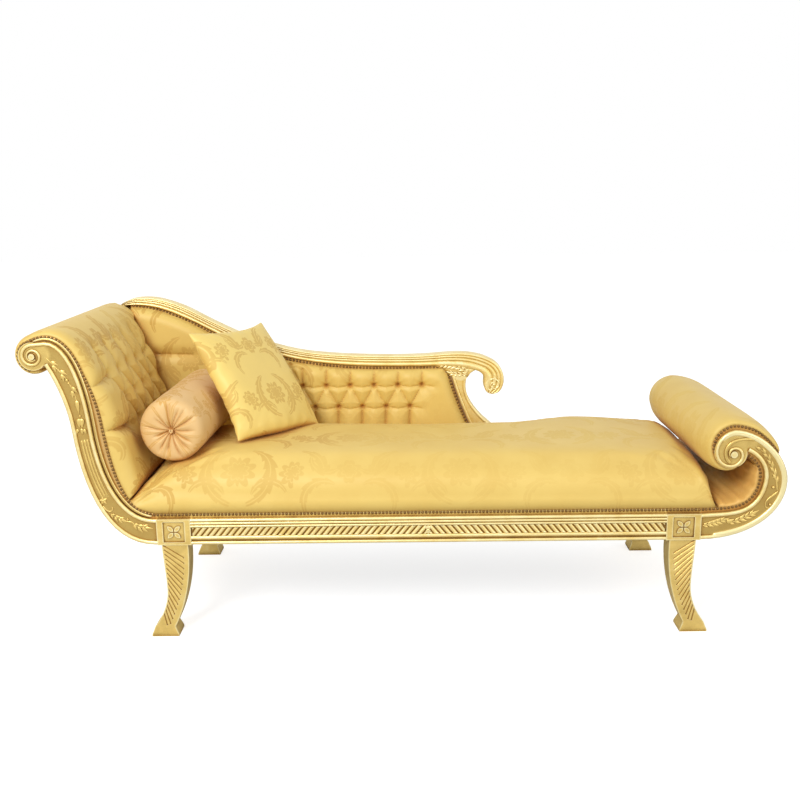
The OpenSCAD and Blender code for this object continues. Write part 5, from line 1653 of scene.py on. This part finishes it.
BACK_NAILS_APART = 1.12


class CHAISE_OT_nails(bpy.types.Operator):
    """Drives the rows of domed nails along the edges of the covers"""

    bl_idname = "chaise.nails"
    bl_label = "Nails"

    def execute(self, context):
        front = LEDGE_Y - 0.8
        seat = np.array([[HEAD_X - 6, RAIL_TOP - 2], [FOOT_X + 6, RAIL_TOP - 2]])
        edge = chain(BACK_TOP, BACK_RIGHT[::-1])
        head = HEAD_LEDGE[2:] - lefts(HEAD_LEDGE)[2:] * (waist(HEAD_LEDGE[2:, 1]) - 2.2)[:, None]
        rows = {
            "nails_seat_front": upright(seat, front),
            "nails_head": upright(head, front - 0.8),
            "nails_head_roll": upright(on_circle(HEAD_C, CORE_R + 0.5, np.linspace(108, 250, 30)), front),
            "nails_foot": upright(shifted(FOOT_INNER, LEDGE_W - 2.5)[2:-3], front),
            "nails_foot_roll": upright(shifted(FOOT_BODY, 2)[RISEN + 14 : TOPPED + 17], front),
            "nails_back": upright(shifted(edge, -4.5)[2:-2], BOARD_Y - 5.5),
        }
        flatten = Matrix.Diagonal((1, 0.7, 1, 1))
        for name, line in rows.items():
            bm = bmesh.new()
            apart = sizes().nail_pitch / MM * (BACK_NAILS_APART if name == "nails_back" else 1)
            for where in evenly(line, max(int(lengths(line)[-1] / apart), 1)):
                ball(bm, where, sizes().nail_d / 2, shape=flatten)
            make_piece(bm, name, "brass")
        return {"FINISHED"}


PIECES = (
    CHAISE_OT_gilding,
    CHAISE_OT_crest,
    CHAISE_OT_head_moulding,
    CHAISE_OT_carving,
    CHAISE_OT_inner_frame,
    CHAISE_OT_seat,
    CHAISE_OT_head_padding,
    CHAISE_OT_back_padding,
    CHAISE_OT_foot_padding,
    CHAISE_OT_covers,
    CHAISE_OT_bolster,
    CHAISE_OT_cushion,
    CHAISE_OT_nails,
)


class CHAISE_PT_panel(bpy.types.Panel):
    """Lists the pieces with their sizes and colours"""

    bl_idname = "CHAISE_PT_panel"
    bl_label = "Chaise Longue"
    bl_space_type = "VIEW_3D"
    bl_region_type = "UI"
    bl_category = "Chaise"

    def draw(self, context):
        layout = self.layout
        for operator in (CHAISE_OT_stage, *PIECES):
            layout.operator(operator.bl_idname)
        for group in (sizes(), colours()):
            box = layout.box()
            for name in group.__annotations__:
                box.prop(group, name)


CLASSES = (ChaiseColours, ChaiseSizes, CHAISE_OT_stage, *PIECES, CHAISE_PT_panel)


def register():
    for made in CLASSES:
        bpy.utils.register_class(made)
    bpy.types.Scene.chaise_colours = PointerProperty(type=ChaiseColours)
    bpy.types.Scene.chaise_sizes = PointerProperty(type=ChaiseSizes)


def unregister():
    del bpy.types.Scene.chaise_sizes
    del bpy.types.Scene.chaise_colours
    for made in reversed(CLASSES):
        bpy.utils.unregister_class(made)


def main():
    register()
    bpy.ops.chaise.stage()
    for operator in PIECES:
        getattr(bpy.ops.chaise, operator.bl_idname.split(".")[1])()


if __name__ == "__main__":
    main()
